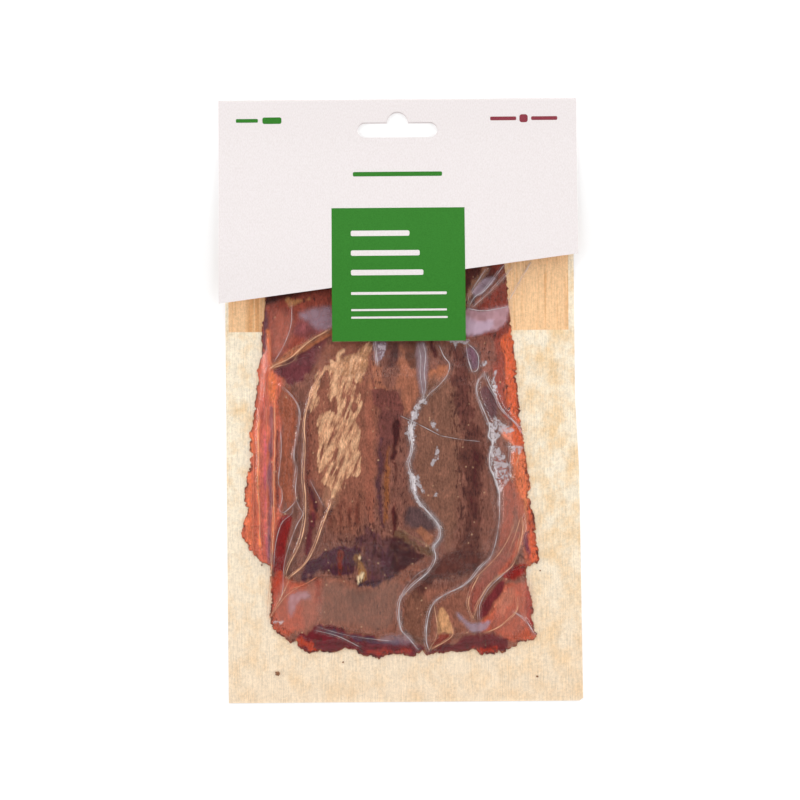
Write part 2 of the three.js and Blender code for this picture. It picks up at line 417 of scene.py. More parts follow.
def new_piece(
    name: str,
    vertices: Array,
    faces: list,
    materials: list[bpy.types.Material],
    looks: Array | None = None,
    colours: dict[str, Array] | None = None,
    numbers: dict[str, Array] | None = None,
    sharp: float = 180.0,
) -> bpy.types.Object:
    """Make a mesh object from points in mm.

    Args:
        name: the piece's name.
        vertices: x, y, z rows in mm.
        faces: rows of vertex numbers.
        materials: the piece's materials.
        looks: the number of each face's material.
        colours: named linear colours, one for each vertex.
        numbers: named numbers, one for each vertex.
        sharp: edges between faces that meet at more than this angle, in degrees, stay sharp.

    Returns:
        The object, at the origin and smoothly shaded.
    """
    mesh = bpy.data.meshes.new(name)
    mesh.from_pydata((np.asarray(vertices) * MM).tolist(), [], faces)
    for material in materials:
        mesh.materials.append(material)
    if looks is not None:
        mesh.polygons.foreach_set("material_index", np.asarray(looks, np.int32))
    for label, values in (colours or {}).items():
        rgba = np.concatenate([values, np.ones((len(values), 1))], axis=1)
        layer = mesh.attributes.new(label, "FLOAT_COLOR", "POINT")
        layer.data.foreach_set("color", rgba.astype(np.float32).ravel())
    for label, values in (numbers or {}).items():
        layer = mesh.attributes.new(label, "FLOAT", "POINT")
        layer.data.foreach_set("value", np.asarray(values, np.float32))
    mesh.polygons.foreach_set("use_smooth", np.ones(len(mesh.polygons), bool))
    mesh.update()
    if sharp < 180.0:
        mesh.set_sharp_from_angle(angle=math.radians(sharp))
    piece = bpy.data.objects.new(name, mesh)
    bpy.context.scene.collection.objects.link(piece)
    return piece


def settle(piece: bpy.types.Object, node: str) -> bpy.types.Object:
    """Tie a finished piece to the pack's body and hide the solid that it stands for.

    Args:
        piece: the finished piece.
        node: the solid that it replaces.

    Returns:
        The same piece.
    """
    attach(piece, BODY)
    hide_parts(node)
    log.info("%s: %d vertices, %d faces", piece.name, len(piece.data.vertices), len(piece.data.polygons))
    return piece


@dataclass(frozen=True)
class Finish:
    """What every finish has: the name of the real material, its main colour and how it shines."""

    name: str
    colour: str
    roughness: float
    shine: float = 0.5

    def start(self) -> tuple[bpy.types.Material, bpy.types.NodeTree, bpy.types.Node, bpy.types.NodeSocket]:
        """Begin a material.

        Returns:
            The material, its node tree, its main shader and the place on the object.
        """
        material = bpy.data.materials.new(self.name)
        material.use_nodes = True
        tree = material.node_tree
        shader = tree.nodes["Principled BSDF"]
        shader.inputs["Base Color"].default_value = linear(self.colour)
        shader.inputs["Roughness"].default_value = self.roughness
        shader.inputs["Specular IOR Level"].default_value = self.shine
        place = add_node(tree, "ShaderNodeTexCoord").outputs["Object"]
        return material, tree, shader, place


@dataclass(frozen=True)
class CoatedBoard(Finish):
    """White carton board with a matt coating: faint fibres under it and a very slight orange peel."""

    shade: str = "#E3DBDA"
    fibre: float = 0.35

    def make(self) -> bpy.types.Material:
        """Build the material."""
        material, tree, shader, place = self.start()
        stretched = add_node(tree, "ShaderNodeMapping", {"Vector": place, "Scale": (1.0, 0.4, 1.0)})
        sizes = {"Vector": stretched, "Scale": 1 / (self.fibre * MM), "Detail": 3.0}
        fibres = add_node(tree, "ShaderNodeTexNoise", sizes)
        stops = [(0.35, self.shade), (0.62, self.colour)]
        tint = add_node(tree, "ShaderNodeValToRGB", {"Fac": fibres}, stops)
        bump = add_node(tree, "ShaderNodeBump", {"Height": fibres, "Strength": 0.12, "Distance": 0.02 * MM})
        tree.links.new(tint.outputs[0], shader.inputs["Base Color"])
        tree.links.new(bump.outputs[0], shader.inputs["Normal"])
        return material


@dataclass(frozen=True)
class OffsetInk(Finish):
    """Offset ink on coated board: even, slightly satin, with a faint mottle of the board under it."""

    mottle: str = "#2C7420"
    grain: float = 0.5

    def make(self) -> bpy.types.Material:
        """Build the material."""
        material, tree, shader, place = self.start()
        sizes = {"Vector": place, "Scale": 1 / (self.grain * MM), "Detail": 2.0}
        spots = add_node(tree, "ShaderNodeTexNoise", sizes)
        tint = add_node(tree, "ShaderNodeValToRGB", {"Fac": spots}, [(0.35, self.mottle), (0.6, self.colour)])
        gloss = {"Value": spots, "To Min": self.roughness - 0.06, "To Max": self.roughness + 0.06}
        satin = add_node(tree, "ShaderNodeMapRange", gloss)
        tree.links.new(tint.outputs[0], shader.inputs["Base Color"])
        tree.links.new(satin.outputs[0], shader.inputs["Roughness"])
        return material


@dataclass(frozen=True)
class WoodPrintBoard(Finish):
    """Board printed with a plain wood look: a band of tan planks at the top, pale scrubbed wood below it.

    The print runs lengthwise: broad planks, fine grain lines and, on the pale wood, tan clouds.
    """

    plank: str = "#EDBB88"
    plank_dark: str = "#E0A670"
    plank_light: str = "#F6CB9C"
    cloud: str = "#F1D2A6"
    low_tint: str = "#F2D5B4"
    # The band of planks, in mm
    band_low: float = 27.8
    band_left: float = -68.6
    band_right: float = 67.3
    # The noises: width in mm, width as a share of length, and detail
    grain: tuple[float, float, float] = (0.5, 0.06, 3.0)
    planks: tuple[float, float, float] = (4.5, 0.02, 5.0)
    clouds: tuple[float, float, float] = (8.0, 0.8, 6.0)
    flecks: tuple[float, float, float] = (0.9, 0.9, 3.0)
    lines: tuple[float, float, float] = (1.3, 0.02, 3.0)
    crispness: float = 0.62
    grain_light: tuple[float, float] = (0.79, 1.155)

    def make(self) -> bpy.types.Material:
        """Build the material."""
        material, tree, shader, place = self.start()
        split = add_node(tree, "ShaderNodeSeparateXYZ", {"Vector": place})
        x, y = split.outputs[0], split.outputs[1]
        noises = []
        for width, slimness, detail in (self.grain, self.planks, self.clouds, self.flecks, self.lines):
            mapped = add_node(tree, "ShaderNodeMapping", {"Vector": place, "Scale": (1.0, slimness, 1.0)})
            sizes = {"Scale": 1 / (width * MM), "Detail": detail, "Roughness": self.crispness}
            noises.append(add_node(tree, "ShaderNodeTexNoise", {"Vector": mapped, **sizes}))
        grain, planks, clouds, flecks, lines = noises
        plank_stops = [(0.36, self.plank_dark), (0.64, self.plank_light), (0.5, self.plank)]
        # The planks grow paler towards the right
        across = {"Value": x, "From Min": -0.02, "From Max": 0.06, "To Min": -0.67, "To Max": -0.45}
        shift = add_node(tree, "ShaderNodeMapRange", across)
        lined = add_node(tree, "ShaderNodeMath", {0: lines, 1: 1.4, 2: shift}, operation="MULTIPLY_ADD")
        lighter = add_node(tree, "ShaderNodeMath", {0: planks, 1: lined})
        plank_tint = add_node(tree, "ShaderNodeValToRGB", {"Fac": lighter}, plank_stops)
        # The wood below them has more clouds towards the right and is warmer towards its lower end
        shifted = add_node(tree, "ShaderNodeMath", {0: x, 1: -0.5, 2: clouds}, operation="MULTIPLY_ADD")
        pale_stops = [(0.33, self.cloud), (0.56, self.colour)]
        pale = add_node(tree, "ShaderNodeValToRGB", {"Fac": shifted}, pale_stops)
        lower = {"Value": y, "From Min": -0.04, "From Max": -0.12, "To Min": 0.0, "To Max": 0.6}
        share = add_node(tree, "ShaderNodeMapRange", lower)
        tints = {0: share, 6: pale, 7: linear(self.low_tint)}
        warmed = add_node(tree, "ShaderNodeMix", tints, data_type="RGBA")
        edge = {"Value": y, "From Min": (self.band_low - 0.15) * MM, "From Max": (self.band_low + 0.15) * MM}
        above = add_node(tree, "ShaderNodeMapRange", edge)
        right = add_node(tree, "ShaderNodeMath", {0: x, 1: self.band_left * MM}, operation="GREATER_THAN")
        left = add_node(tree, "ShaderNodeMath", {0: x, 1: self.band_right * MM}, operation="LESS_THAN")
        between = add_node(tree, "ShaderNodeMath", {0: right, 1: left}, operation="MULTIPLY")
        band = add_node(tree, "ShaderNodeMath", {0: above, 1: between}, operation="MULTIPLY")
        printed = add_node(tree, "ShaderNodeMix", {0: band, 6: warmed, 7: plank_tint}, data_type="RGBA")
        texture = add_node(tree, "ShaderNodeMath", {0: grain, 1: flecks}, operation="ADD")
        dim, bright = self.grain_light
        light = {"Value": texture, "From Min": 0.7, "From Max": 1.3, "To Min": dim, "To Max": bright}
        streak = add_node(tree, "ShaderNodeMapRange", light)
        streaked = {0: 1.0, 6: printed, 7: streak}
        final = add_node(tree, "ShaderNodeMix", streaked, data_type="RGBA", blend_type="MULTIPLY")
        tree.links.new(final.outputs[2], shader.inputs["Base Color"])
        return material


@dataclass(frozen=True)
class Fray:
    """A field of another look with an edge that noise frays.

    Its attribute says how far a place lies inside the field, or outside it if the softness is negative. The
    other values are how much the noise adds, where the field starts, how softly, how much it covers, and its
    shades from dark to pale.
    """

    attribute: str
    gain: float
    middle: float
    soft: float
    most: float
    shades: tuple[str, str, str]

    def over(
        self, tree: bpy.types.NodeTree, look: bpy.types.Node, noise: bpy.types.Node, mottle: bpy.types.Node
    ) -> bpy.types.Node:
        """Lay the field over a look.

        Args:
            tree: the material's node tree.
            look: the colour under the field.
            noise: what frays the edge.
            mottle: what picks the shade.

        Returns:
            The mixed colour.
        """
        depth = add_node(tree, "ShaderNodeAttribute", attribute_name=self.attribute).outputs["Fac"]
        terms = {0: noise, 1: self.gain, 2: depth}
        frayed = add_node(tree, "ShaderNodeMath", terms, operation="MULTIPLY_ADD")
        start, end = self.middle - self.soft, self.middle + self.soft
        edge = {"Value": frayed, "From Min": start, "From Max": end, "To Max": self.most}
        share = add_node(tree, "ShaderNodeMapRange", edge)
        dark, mean, pale = self.shades
        stops = [(0.38, dark), (0.62, pale), (0.5, mean)]
        tint = add_node(tree, "ShaderNodeValToRGB", {"Fac": mottle}, stops)
        return add_node(tree, "ShaderNodeMix", {0: share, 6: look, 7: tint}, data_type="RGBA")


@dataclass(frozen=True)
class DriedBeef(Finish):
    """Air-dried beef: dark wine-brown muscle with lengthwise fibres, darker pits and flecks of pale fat.

    The slice's own attributes steer it: "tone" holds the broad colours, "dry" and "pit" say how far a place
    is inside a pale, dry field or a pitted one, and "rim" how far it is from the torn rim, in mm. Noise frays
    the fields into streaks and the dark crust into crumbs. Under the tight film the meat hardly shines.
    """

    fibre: tuple[float, float] = (1.0, 8.0)
    clump: tuple[float, float] = (1.7, 5.0)
    speckle: tuple[float, float] = (0.5, 1.2)
    mottle: tuple[float, float] = (3.0, 3.0)
    pit: tuple[float, float] = (0.9, 3.0)
    streak: tuple[float, float] = (1.5, 7.0)
    tooth: tuple[float, float] = (0.7, 0.8)
    streak_lean: float = 20.0
    fibre_depth: float = 0.12
    # Flecks of fat: how far apart, their colour and edge, how much they cover, and the mottle they show on
    fleck_spacing: float = 3.6
    fleck: str = "#C9A07C"
    fleck_edge: tuple[float, float] = (0.14, 0.07)
    fleck_cover: float = 0.7
    fleck_shades: tuple[float, float] = (0.5, 0.56)
    pitted: Fray = Fray("pit", 4.0, 2.5, 0.15, 0.85, ("#3E1B1B", "#4E2822", "#62382C"))
    dried: Fray = Fray("dry", 4.0, 1.9, 0.25, 1.0, ("#9C6850", "#C28E6C", "#DEAC86"))
    # The crust lies on the low side of its attribute, up to about 0.4 mm from a rim that is all crust
    torn: Fray = Fray("rim", 3.0, 3.4, -0.2, 0.85, ("#4C1A12", "#86402A", "#AC7C4A"))

    def make(self) -> bpy.types.Material:
        """Build the material."""
        material, tree, shader, place = self.start()
        noises = []
        sizes = self.fibre, self.clump, self.speckle, self.mottle, self.pit, self.streak, self.tooth
        for width, length in sizes:
            lean = -math.radians(self.streak_lean) if (width, length) == self.streak else 0.0
            stretched = {"Vector": place, "Rotation": (0.0, 0.0, lean), "Scale": (1.0, length / width, 1.0)}
            mapped = add_node(tree, "ShaderNodeMapping", stretched, vector_type="TEXTURE")
            grain = {"Vector": mapped, "Scale": 1 / (width * MM), "Detail": 4.0, "Roughness": 0.6}
            noises.append(add_node(tree, "ShaderNodeTexNoise", grain))
        fibres, clumps, speckles, mottles, pits, streaks, teeth = noises
        tone = add_node(tree, "ShaderNodeAttribute", attribute_name="tone")
        look = self.dried.over(tree, tone, streaks, streaks)
        # The range of each noise that counts, and how dark and how light it makes the meat
        for noise, start, end, low, high in (
            (fibres, 0.3, 0.7, 0.86, 1.14),
            (clumps, 0.42, 0.49, 0.86, 1.03),
            (speckles, 0.3, 0.7, 0.68, 1.32),
            (mottles, 0.3, 0.7, 0.84, 1.16),
        ):
            ranges = {"Value": noise, "From Min": start, "From Max": end, "To Min": low, "To Max": high}
            shade = add_node(tree, "ShaderNodeMapRange", ranges)
            lit = {0: 1.0, 6: look, 7: shade}
            look = add_node(tree, "ShaderNodeMix", lit, data_type="RGBA", blend_type="MULTIPLY")
        look = self.pitted.over(tree, look, pits, mottles)
        bites = add_node(tree, "ShaderNodeMath", {0: teeth, 1: mottles})
        look = self.torn.over(tree, look, bites, mottles)
        spread = {"Vector": place, "Scale": 1 / (self.fleck_spacing * MM)}
        cells = add_node(tree, "ShaderNodeTexVoronoi", spread)
        outer, inner = self.fleck_edge
        near = {"Value": cells.outputs["Distance"], "From Min": outer, "From Max": inner}
        dot = add_node(tree, "ShaderNodeMapRange", {**near, "To Max": self.fleck_cover})
        low, high = self.fleck_shades
        some = add_node(tree, "ShaderNodeMapRange", {"Value": mottles, "From Min": low, "From Max": high})
        both = add_node(tree, "ShaderNodeMath", {0: dot, 1: some}, operation="MULTIPLY")
        flecked = add_node(tree, "ShaderNodeMix", {0: both, 6: look, 7: linear(self.fleck)}, data_type="RGBA")
        relief = {"Height": fibres, "Strength": 0.5, "Distance": self.fibre_depth * MM}
        bump = add_node(tree, "ShaderNodeBump", relief)
        tree.links.new(flecked.outputs[2], shader.inputs["Base Color"])
        tree.links.new(bump.outputs[0], shader.inputs["Normal"])
        return material


@dataclass(frozen=True)
class PouchFilm(Finish):
    """Clear laminated pouch film, drawn tight: glossy, almost invisible where flat, milky in its folds.

    Two attributes say how milky it is, with the painted highlights of its folds and the painted sheen of its
    patches, and give their colour, and the lace attribute says where it stands clear of the meat in lacy
    patches of painted silver sheen. Both sides mirror a little more towards the horizon.
    """

    mirror: float = 0.02
    # The colour of the painted silver sheen where the film stands clear of the meat
    silver: str = "#CDC2C7"
    # How sharply the mirror grows towards the horizon
    grazing: float = 5.0
    # The lace's noise: its size, how it is stretched and shifted, where it shows, and how much it covers
    lace_grain: float = 1.7
    lace_gain: float = 3.2
    lace_shift: float = -3.35
    lace_edge: tuple[float, float] = (-0.15, 0.25)
    lace_cover: float = 0.62

    def make(self) -> bpy.types.Material:
        """Build the material."""
        material, tree, shader, place = self.start()
        haze_and_sheen, lace, sheen_veil = (
            add_node(tree, "ShaderNodeAttribute", attribute_name=name) for name in ("haze_and_sheen", "lace", "sheen_veil")
        )
        haze_and_sheen, lace = haze_and_sheen.outputs["Fac"], lace.outputs["Fac"]
        facing = add_node(tree, "ShaderNodeLayerWeight", {"Blend": 0.5}).outputs["Facing"]
        grazing = add_node(tree, "ShaderNodeMath", {0: facing, 1: self.grazing}, operation="POWER")
        shares = {0: grazing, 1: 1.0 - self.mirror, 2: self.mirror}
        mirror = add_node(tree, "ShaderNodeMath", shares, operation="MULTIPLY_ADD", use_clamp=True)
        # Noise frays the lace attribute into lacy patches of painted silver sheen
        sizes = {"Vector": place, "Scale": 1 / (self.lace_grain * MM), "Detail": 6.0, "Roughness": 0.7}
        holes = add_node(tree, "ShaderNodeTexNoise", sizes)
        terms = {0: holes, 1: self.lace_gain, 2: self.lace_shift}
        spread = add_node(tree, "ShaderNodeMath", terms, operation="MULTIPLY_ADD")
        torn = add_node(tree, "ShaderNodeMath", {0: lace, 1: spread}, operation="ADD")
        low, high = self.lace_edge
        ranges = {"Value": torn, "From Min": low, "From Max": high, "To Max": self.lace_cover}
        laced = add_node(tree, "ShaderNodeMapRange", ranges)
        # Milk with the painted highlights and sheen, and the painted silver lace, cover the clear film
        milk_and_sheen = add_node(tree, "ShaderNodeMath", {0: laced, 1: haze_and_sheen}, operation="ADD", use_clamp=True)
        seen = add_node(tree, "ShaderNodeMath", {0: mirror, 1: milk_and_sheen}, operation="ADD", use_clamp=True)
        metal = add_node(tree, "ShaderNodeMath", {0: mirror, 1: seen}, operation="DIVIDE", use_clamp=True)
        tint = add_node(tree, "ShaderNodeMix", {0: laced, 6: sheen_veil, 7: linear(self.silver)}, data_type="RGBA")
        look = add_node(tree, "ShaderNodeMix", {0: metal, 6: tint, 7: (1.0, 1.0, 1.0, 1.0)}, data_type="RGBA")
        clear = add_node(tree, "ShaderNodeBsdfTransparent")
        mixed = add_node(tree, "ShaderNodeMixShader", {0: seen, 1: clear, 2: shader})
        tree.links.new(look.outputs[2], shader.inputs["Base Color"])
        tree.links.new(metal.outputs[0], shader.inputs["Metallic"])
        tree.links.new(mixed.outputs[0], tree.nodes["Material Output"].inputs["Surface"])
        return material


@dataclass(frozen=True)
class DriedCrumb(Finish):
    """Crumbs of dried crust: rough, dark brown, with paler spots."""

    pale: str = "#A9764A"
    grain: float = 0.4

    def make(self) -> bpy.types.Material:
        """Build the material."""
        material, tree, shader, place = self.start()
        sizes = {"Vector": place, "Scale": 1 / (self.grain * MM), "Detail": 2.0}
        spots = add_node(tree, "ShaderNodeTexNoise", sizes)
        tint = add_node(tree, "ShaderNodeValToRGB", {"Fac": spots}, [(0.4, self.colour), (0.7, self.pale)])
        tree.links.new(tint.outputs[0], shader.inputs["Base Color"])
        return material


class Finishes:
    """The pack's materials."""

    def __init__(self) -> None:
        """Make each material once."""
        self.board = CoatedBoard("coated carton board", "#EAE3E3", 0.6, 0.3).make()
        self.green = OffsetInk("green offset ink", "#327E26", 0.5, 0.25).make()
        self.maroon = OffsetInk("maroon offset ink", "#8E3A46", 0.5, 0.25, mottle="#84323F").make()
        self.wood = WoodPrintBoard("board with wood print", "#F9EBD3", 0.55, 0.3).make()
        self.beef = DriedBeef("air-dried beef", "#8F5A46", 0.5, 0.15).make()
        self.film = PouchFilm("clear laminated pouch film", "#FFFFFF", 0.12).make()
        self.crumb = DriedCrumb("dried meat crumb", "#6B3F28", 0.8).make()


@dataclass
class BackingSheet:
    """The stiff printed sheet at the back of the pouch, in mm. It bends up onto the card's back panel."""

    thickness: float = 0.5
    bend_low_y: float = 47.0
    bend_high_y: float = 57.0
    lift: float = 0.5
    corner_cut: float = 1.5
    left_edge: Points = ((-70.0, 95.0), (-69.7, -120.5))
    right_edge: Points = ((72.0, -119.4), (71.1, -28.0), (69.7, 0.0), (69.4, 95.0))
    spacing: float = 4.0

    def top(self, y: Array) -> Array:
        """Give the height of the sheet's printed side at y."""
        return self.lift * ease(self.bend_low_y, self.bend_high_y, y) + self.thickness

    def right_at(self, y: Array) -> Array:
        """Give the x of the sheet's right edge at y."""
        xs, ys = zip(*self.right_edge)
        return np.interp(y, ys, xs)

    def build(self, finishes: Finishes) -> bpy.types.Object:
        """Make the sheet.

        Args:
            finishes: the pack's materials.

        Returns:
            The sheet as a piece.
        """
        (left, top_y), (_, low_y) = self.left_edge
        right = self.right_edge[0][0]
        cut = (right - self.corner_cut, low_y)
        outline = split_edges([*self.left_edge, cut, *self.right_edge], self.spacing)
        inner = crossed(
            np.arange(left, right, self.spacing) + self.spacing / 3,
            np.arange(low_y, top_y, self.spacing / 2) + self.spacing / 4,
        )
        places, triangles = triangulate([outline], inner)
        top = self.top(places[:, 1])
        upper = np.column_stack([places, top])
        lower = np.column_stack([places, top - self.thickness])
        shell = Shell.between(upper, lower, triangles)
        looks = np.where(shell.parts == 0, 0, 1)
        dress = [finishes.wood, finishes.board]
        piece = new_piece("backing_board", shell.vertices, shell.faces, dress, looks, sharp=40.0)
        return settle(piece, "backing_sheet")


@dataclass
class HeaderCard:
    """The header card: one printed sheet folded at its top edge over the pouch, in mm."""

    left: float = -72.0
    right: float = 71.0
    fold_y: float = 120.5
    left_low_y: float = 39.0
    right_low_y: float = 58.0
    back_low_y: float = 60.0
    thickness: float = 0.45
    fold_gap: float = 0.15
    crown: float = 0.6
    tab_left: float = -27.0
    tab_right: float = 26.0
    tab_low_y: float = 23.6
    hole_x: float = -0.5
    hole_width: float = 32.0
    hole_low_y: float = 105.1
    hole_slot: float = 6.1
    hole_bump: float = 4.2
    hole_back_shift: float = -0.4
    ink: float = 0.03
    arc_points: int = 17
    spacing: float = 3.0
    # The front panel's underside: y, height, and the steps in y that its bends are evened out over
    rise: Points = (
        (22, 8.2), (40, 7.7), (50, 7.2), (60, 6.3), (69, 4.9), (78, 3.6), (88, 2.4), (96, 1.5), (104, 0.62),
        (120.5, 0.6),
    )
    evened: Sequence[float] = (-4, -2, 0, 2, 4)
    # The length of panel that makes up for the fold's own depth
    panel: float = 100.0

    @property
    def middle_radius(self) -> float:
        """The fold's radius at the middle of the sheet's thickness."""
        return (self.thickness + self.fold_gap) / 2

    @property
    def quarter(self) -> float:
        """The length of a quarter turn round the fold."""
        return math.pi / 2 * self.middle_radius

    @property
    def centre_y(self) -> float:
        """The y of the fold's axis."""
        return self.fold_y - self.middle_radius - self.thickness / 2

    @property
    def stretch(self) -> float:
        """How much a panel is stretched in the plan."""
        return (self.fold_y - self.centre_y + self.panel) / self.panel

    @property
    def fold_rows(self) -> list[float]:
        """The rows across the fold, as distances from it along the sheet."""
        return [self.quarter * share for share in (-3.0, -1.7, -1.0, -0.6, -0.2, 0.2, 0.6, 1.0, 1.7, 3.0)]

    def slant(self, x: float) -> float:
        """Give the y of the front panel's slanted lower edge at x."""
        share = (x - self.left) / (self.right - self.left)
        return self.left_low_y + share * (self.right_low_y - self.left_low_y)

    def underside(self, x: Array, y: Array) -> Array:
        """Give the height of the front panel's underside.

        Args:
            x: the places' x.
            y: the places' y.

        Returns:
            The heights, lower towards the card's sides.
        """
        ys, zs = zip(*self.rise)
        height = np.mean([np.interp(y + shift, ys, zs) for shift in self.evened], axis=0)
        lifted = (height - zs[-1]) / (zs[0] - zs[-1])
        return height - self.crown * (x / self.right) ** 2 * lifted

    def hole(self, shift: float) -> Array:
        """Draw the euro hole.

        Args:
            shift: how far up the hole is moved.

        Returns:
            The hole's outline as x, y rows.
        """
        radius = self.hole_slot / 2
        side = self.hole_width / 2 - radius
        middle = self.hole_low_y + radius + shift
        arcs = [
            (self.hole_x - side, middle, radius, 90, 270),
            (self.hole_x + side, middle, radius, 270, 450),
            (self.hole_x, middle + radius, self.hole_bump, 0, 180),
        ]
        drawn = []
        for x, y, r, start, end in arcs:
            turn = np.radians(np.linspace(start, end, self.arc_points))
            drawn.append(np.column_stack([x + r * np.cos(turn), y + r * np.sin(turn)]))
        return np.concatenate(drawn)

    def bent(self, places: Array, offset: float) -> Array:
        """Bend the flat sheet round the fold.

        Args:
            places: rows of x and the distance from the fold, positive down the front panel.
            offset: height above the middle of the sheet, positive on its printed side.

        Returns:
            The bent sheet as x, y, z rows.
        """
        x, w = places[:, 0], places[:, 1]
        radius = self.middle_radius
        quarter = self.quarter
        half = self.thickness / 2
        turn = np.clip(w / radius, -math.pi / 2, math.pi / 2)
        z = half + radius + (radius + offset) * np.sin(turn)
        beyond = np.maximum(np.abs(w) - quarter, 0.0)
        y = self.centre_y + (radius + offset) * np.cos(turn) - beyond * self.stretch
        front = self.underside(x, y) + half
        step = 0.5
        slope = (self.underside(x, y + step) - self.underside(x, y - step)) / (2 * step)
        length = np.sqrt(1 + slope**2)
        share = ease(quarter, 4 * quarter, w)
        z = np.where(w > quarter, (1 - share) * z + share * (front + offset / length), z)
        y = np.where(w > quarter, y - share * slope * offset / length, y)
        return np.column_stack([x, y, z])

    def from_fold(self, y: Array) -> Array:
        """Turn a y on the front panel into a distance from the fold along the sheet."""
        return self.quarter + (self.centre_y - y) / self.stretch

    def build(self, finishes: Finishes) -> bpy.types.Object:
        """Make the folded card.

        Args:
            finishes: the pack's materials.

        Returns:
            The card as a piece.
        """
        front = [
            (self.left, self.left_low_y),
            (self.tab_left, self.slant(self.tab_left)),
            (self.tab_left, self.tab_low_y),
            (self.tab_right, self.tab_low_y),
            (self.tab_right, self.slant(self.tab_right)),
            (self.right, self.right_low_y),
        ]
        back = -self.from_fold(self.back_low_y)
        corners = [
            *((x, self.from_fold(y)) for x, y in front),
            *((self.right, w) for w in reversed(self.fold_rows)),
            (self.right, back),
            (self.left, back),
            *((self.left, w) for w in self.fold_rows),
        ]
        loops = [split_edges(corners, self.spacing)]
        for side, shift in ((1, 0.0), (-1, self.hole_back_shift)):
            x, y = self.hole(shift).T
            loops.append(np.column_stack([x, side * self.from_fold(y)]))
        far = 2 * self.spacing
        rows = [
            *np.arange(back + self.spacing / 2, -far, self.spacing),
            *self.fold_rows,
            *np.arange(far, self.from_fold(self.tab_low_y), self.spacing),
        ]
        inner = crossed(np.arange(self.left + self.spacing / 2, self.right, self.spacing), rows)
        places, triangles = triangulate(loops, inner)
        # The distance from the fold runs down the pack, so the triangles turn over
        half = self.thickness / 2
        shell = Shell.between(self.bent(places, half), self.bent(places, -half), triangles[:, ::-1])
        piece = new_piece("folded_card", shell.vertices, shell.faces, [finishes.board], sharp=40.0)
        return settle(piece, "header_card")

    def surface(self, x: Array, y: Array) -> Array:
        """Give the height of the front panel's printed side at x, y."""
        return self.underside(x, y) + self.thickness


@dataclass
class CardPrint:
    """The card's print: a green square that leaves bars of bare board, and plain bars on the panel, in mm."""

    card: HeaderCard
    square_low_left: tuple[float, float] = (-27.0, 23.6)
    square_high_right: tuple[float, float] = (26.0, 76.8)
    text_left: float = -19.4
    # Bars left bare in the green square: right end, middle y, thickness
    bare_bars: Sequence[tuple[float, float, float]] = (
        (4.0, 66.6, 2.2), (8.0, 58.7, 2.2), (9.4, 50.9, 2.2),
        (18.6, 42.6, 1.1), (18.6, 36.0, 0.8), (18.9, 33.0, 0.8),
    )
    # Green bars on the panel: left, right, middle y, thickness
    green_bars: Sequence[tuple[float, float, float, float]] = (
        (-18.4, 17.2, 90.4, 1.8), (-65.0, -56.2, 112.2, 1.5), (-54.4, -46.8, 112.2, 2.6),
    )
    maroon_bars: Sequence[tuple[float, float, float, float]] = (
        (36.6, 47.0, 112.4, 1.5), (48.3, 51.6, 112.4, 3.2), (53.0, 63.4, 112.4, 1.5),
    )
    # The radius of a bar's corners as a share of its thickness, and the points on each
    rounding: float = 0.3
    arc_points: int = 5
    spacing: float = 2.5

    def bar(self, left: float, right: float, middle: float, thick: float) -> Array:
        """Draw a bar with slightly round corners.

        Args:
            left: its lowest x.
            right: its highest x.
            middle: the y of its middle.
            thick: its thickness.

        Returns:
            The outline as x, y rows.
        """
        radius = self.rounding * thick
        low, high = middle - thick / 2 + radius, middle + thick / 2 - radius
        left, right = left + radius, right - radius
        corners = []
        for number, (x, y) in enumerate([(right, high), (left, high), (left, low), (right, low)]):
            turn = np.radians(np.linspace(90 * number, 90 * number + 90, self.arc_points))
            corners += zip(x + radius * np.cos(turn), y + radius * np.sin(turn))
        return split_edges(corners, self.spacing)

    def patch(self, loops: list[Array]) -> Shell:
        """Lay a film of ink on the card.

        Args:
            loops: its outline and the holes in it.

        Returns:
            The ink as a thin closed solid.
        """
        low = loops[0].min(axis=0)
        high = loops[0].max(axis=0)
        inner = crossed(*(np.arange(low[k] + self.spacing / 2, high[k], self.spacing) for k in (0, 1)))
        places, triangles = triangulate(loops, inner)
        height = self.card.surface(places[:, 0], places[:, 1])
        upper = np.column_stack([places, height + self.card.ink])
        lower = np.column_stack([places, height - self.card.ink])
        return Shell.between(upper, lower, triangles)

    def build(self, finishes: Finishes) -> bpy.types.Object:
        """Make the print.

        Args:
            finishes: the pack's materials.

        Returns:
            The print as a piece.
        """
        (left, low), (right, high) = self.square_low_left, self.square_high_right
        loops = [split_edges([(left, low), (right, low), (right, high), (left, high)], self.spacing)]
        loops += [self.bar(self.text_left, *bare) for bare in self.bare_bars]
        whole = self.patch(loops)
        looks = [np.zeros(len(whole.faces), int)]
        for bars, look in ((self.green_bars, 0), (self.maroon_bars, 1)):
            for sizes in bars:
                printed = self.patch([self.bar(*sizes)])
                whole = whole.joined(printed)
                looks.append(np.full(len(printed.faces), look))
        inks = [finishes.green, finishes.maroon]
        piece = new_piece("card_print", whole.vertices, whole.faces, inks, np.concatenate(looks), sharp=40.0)
        return settle(piece, "header_card")


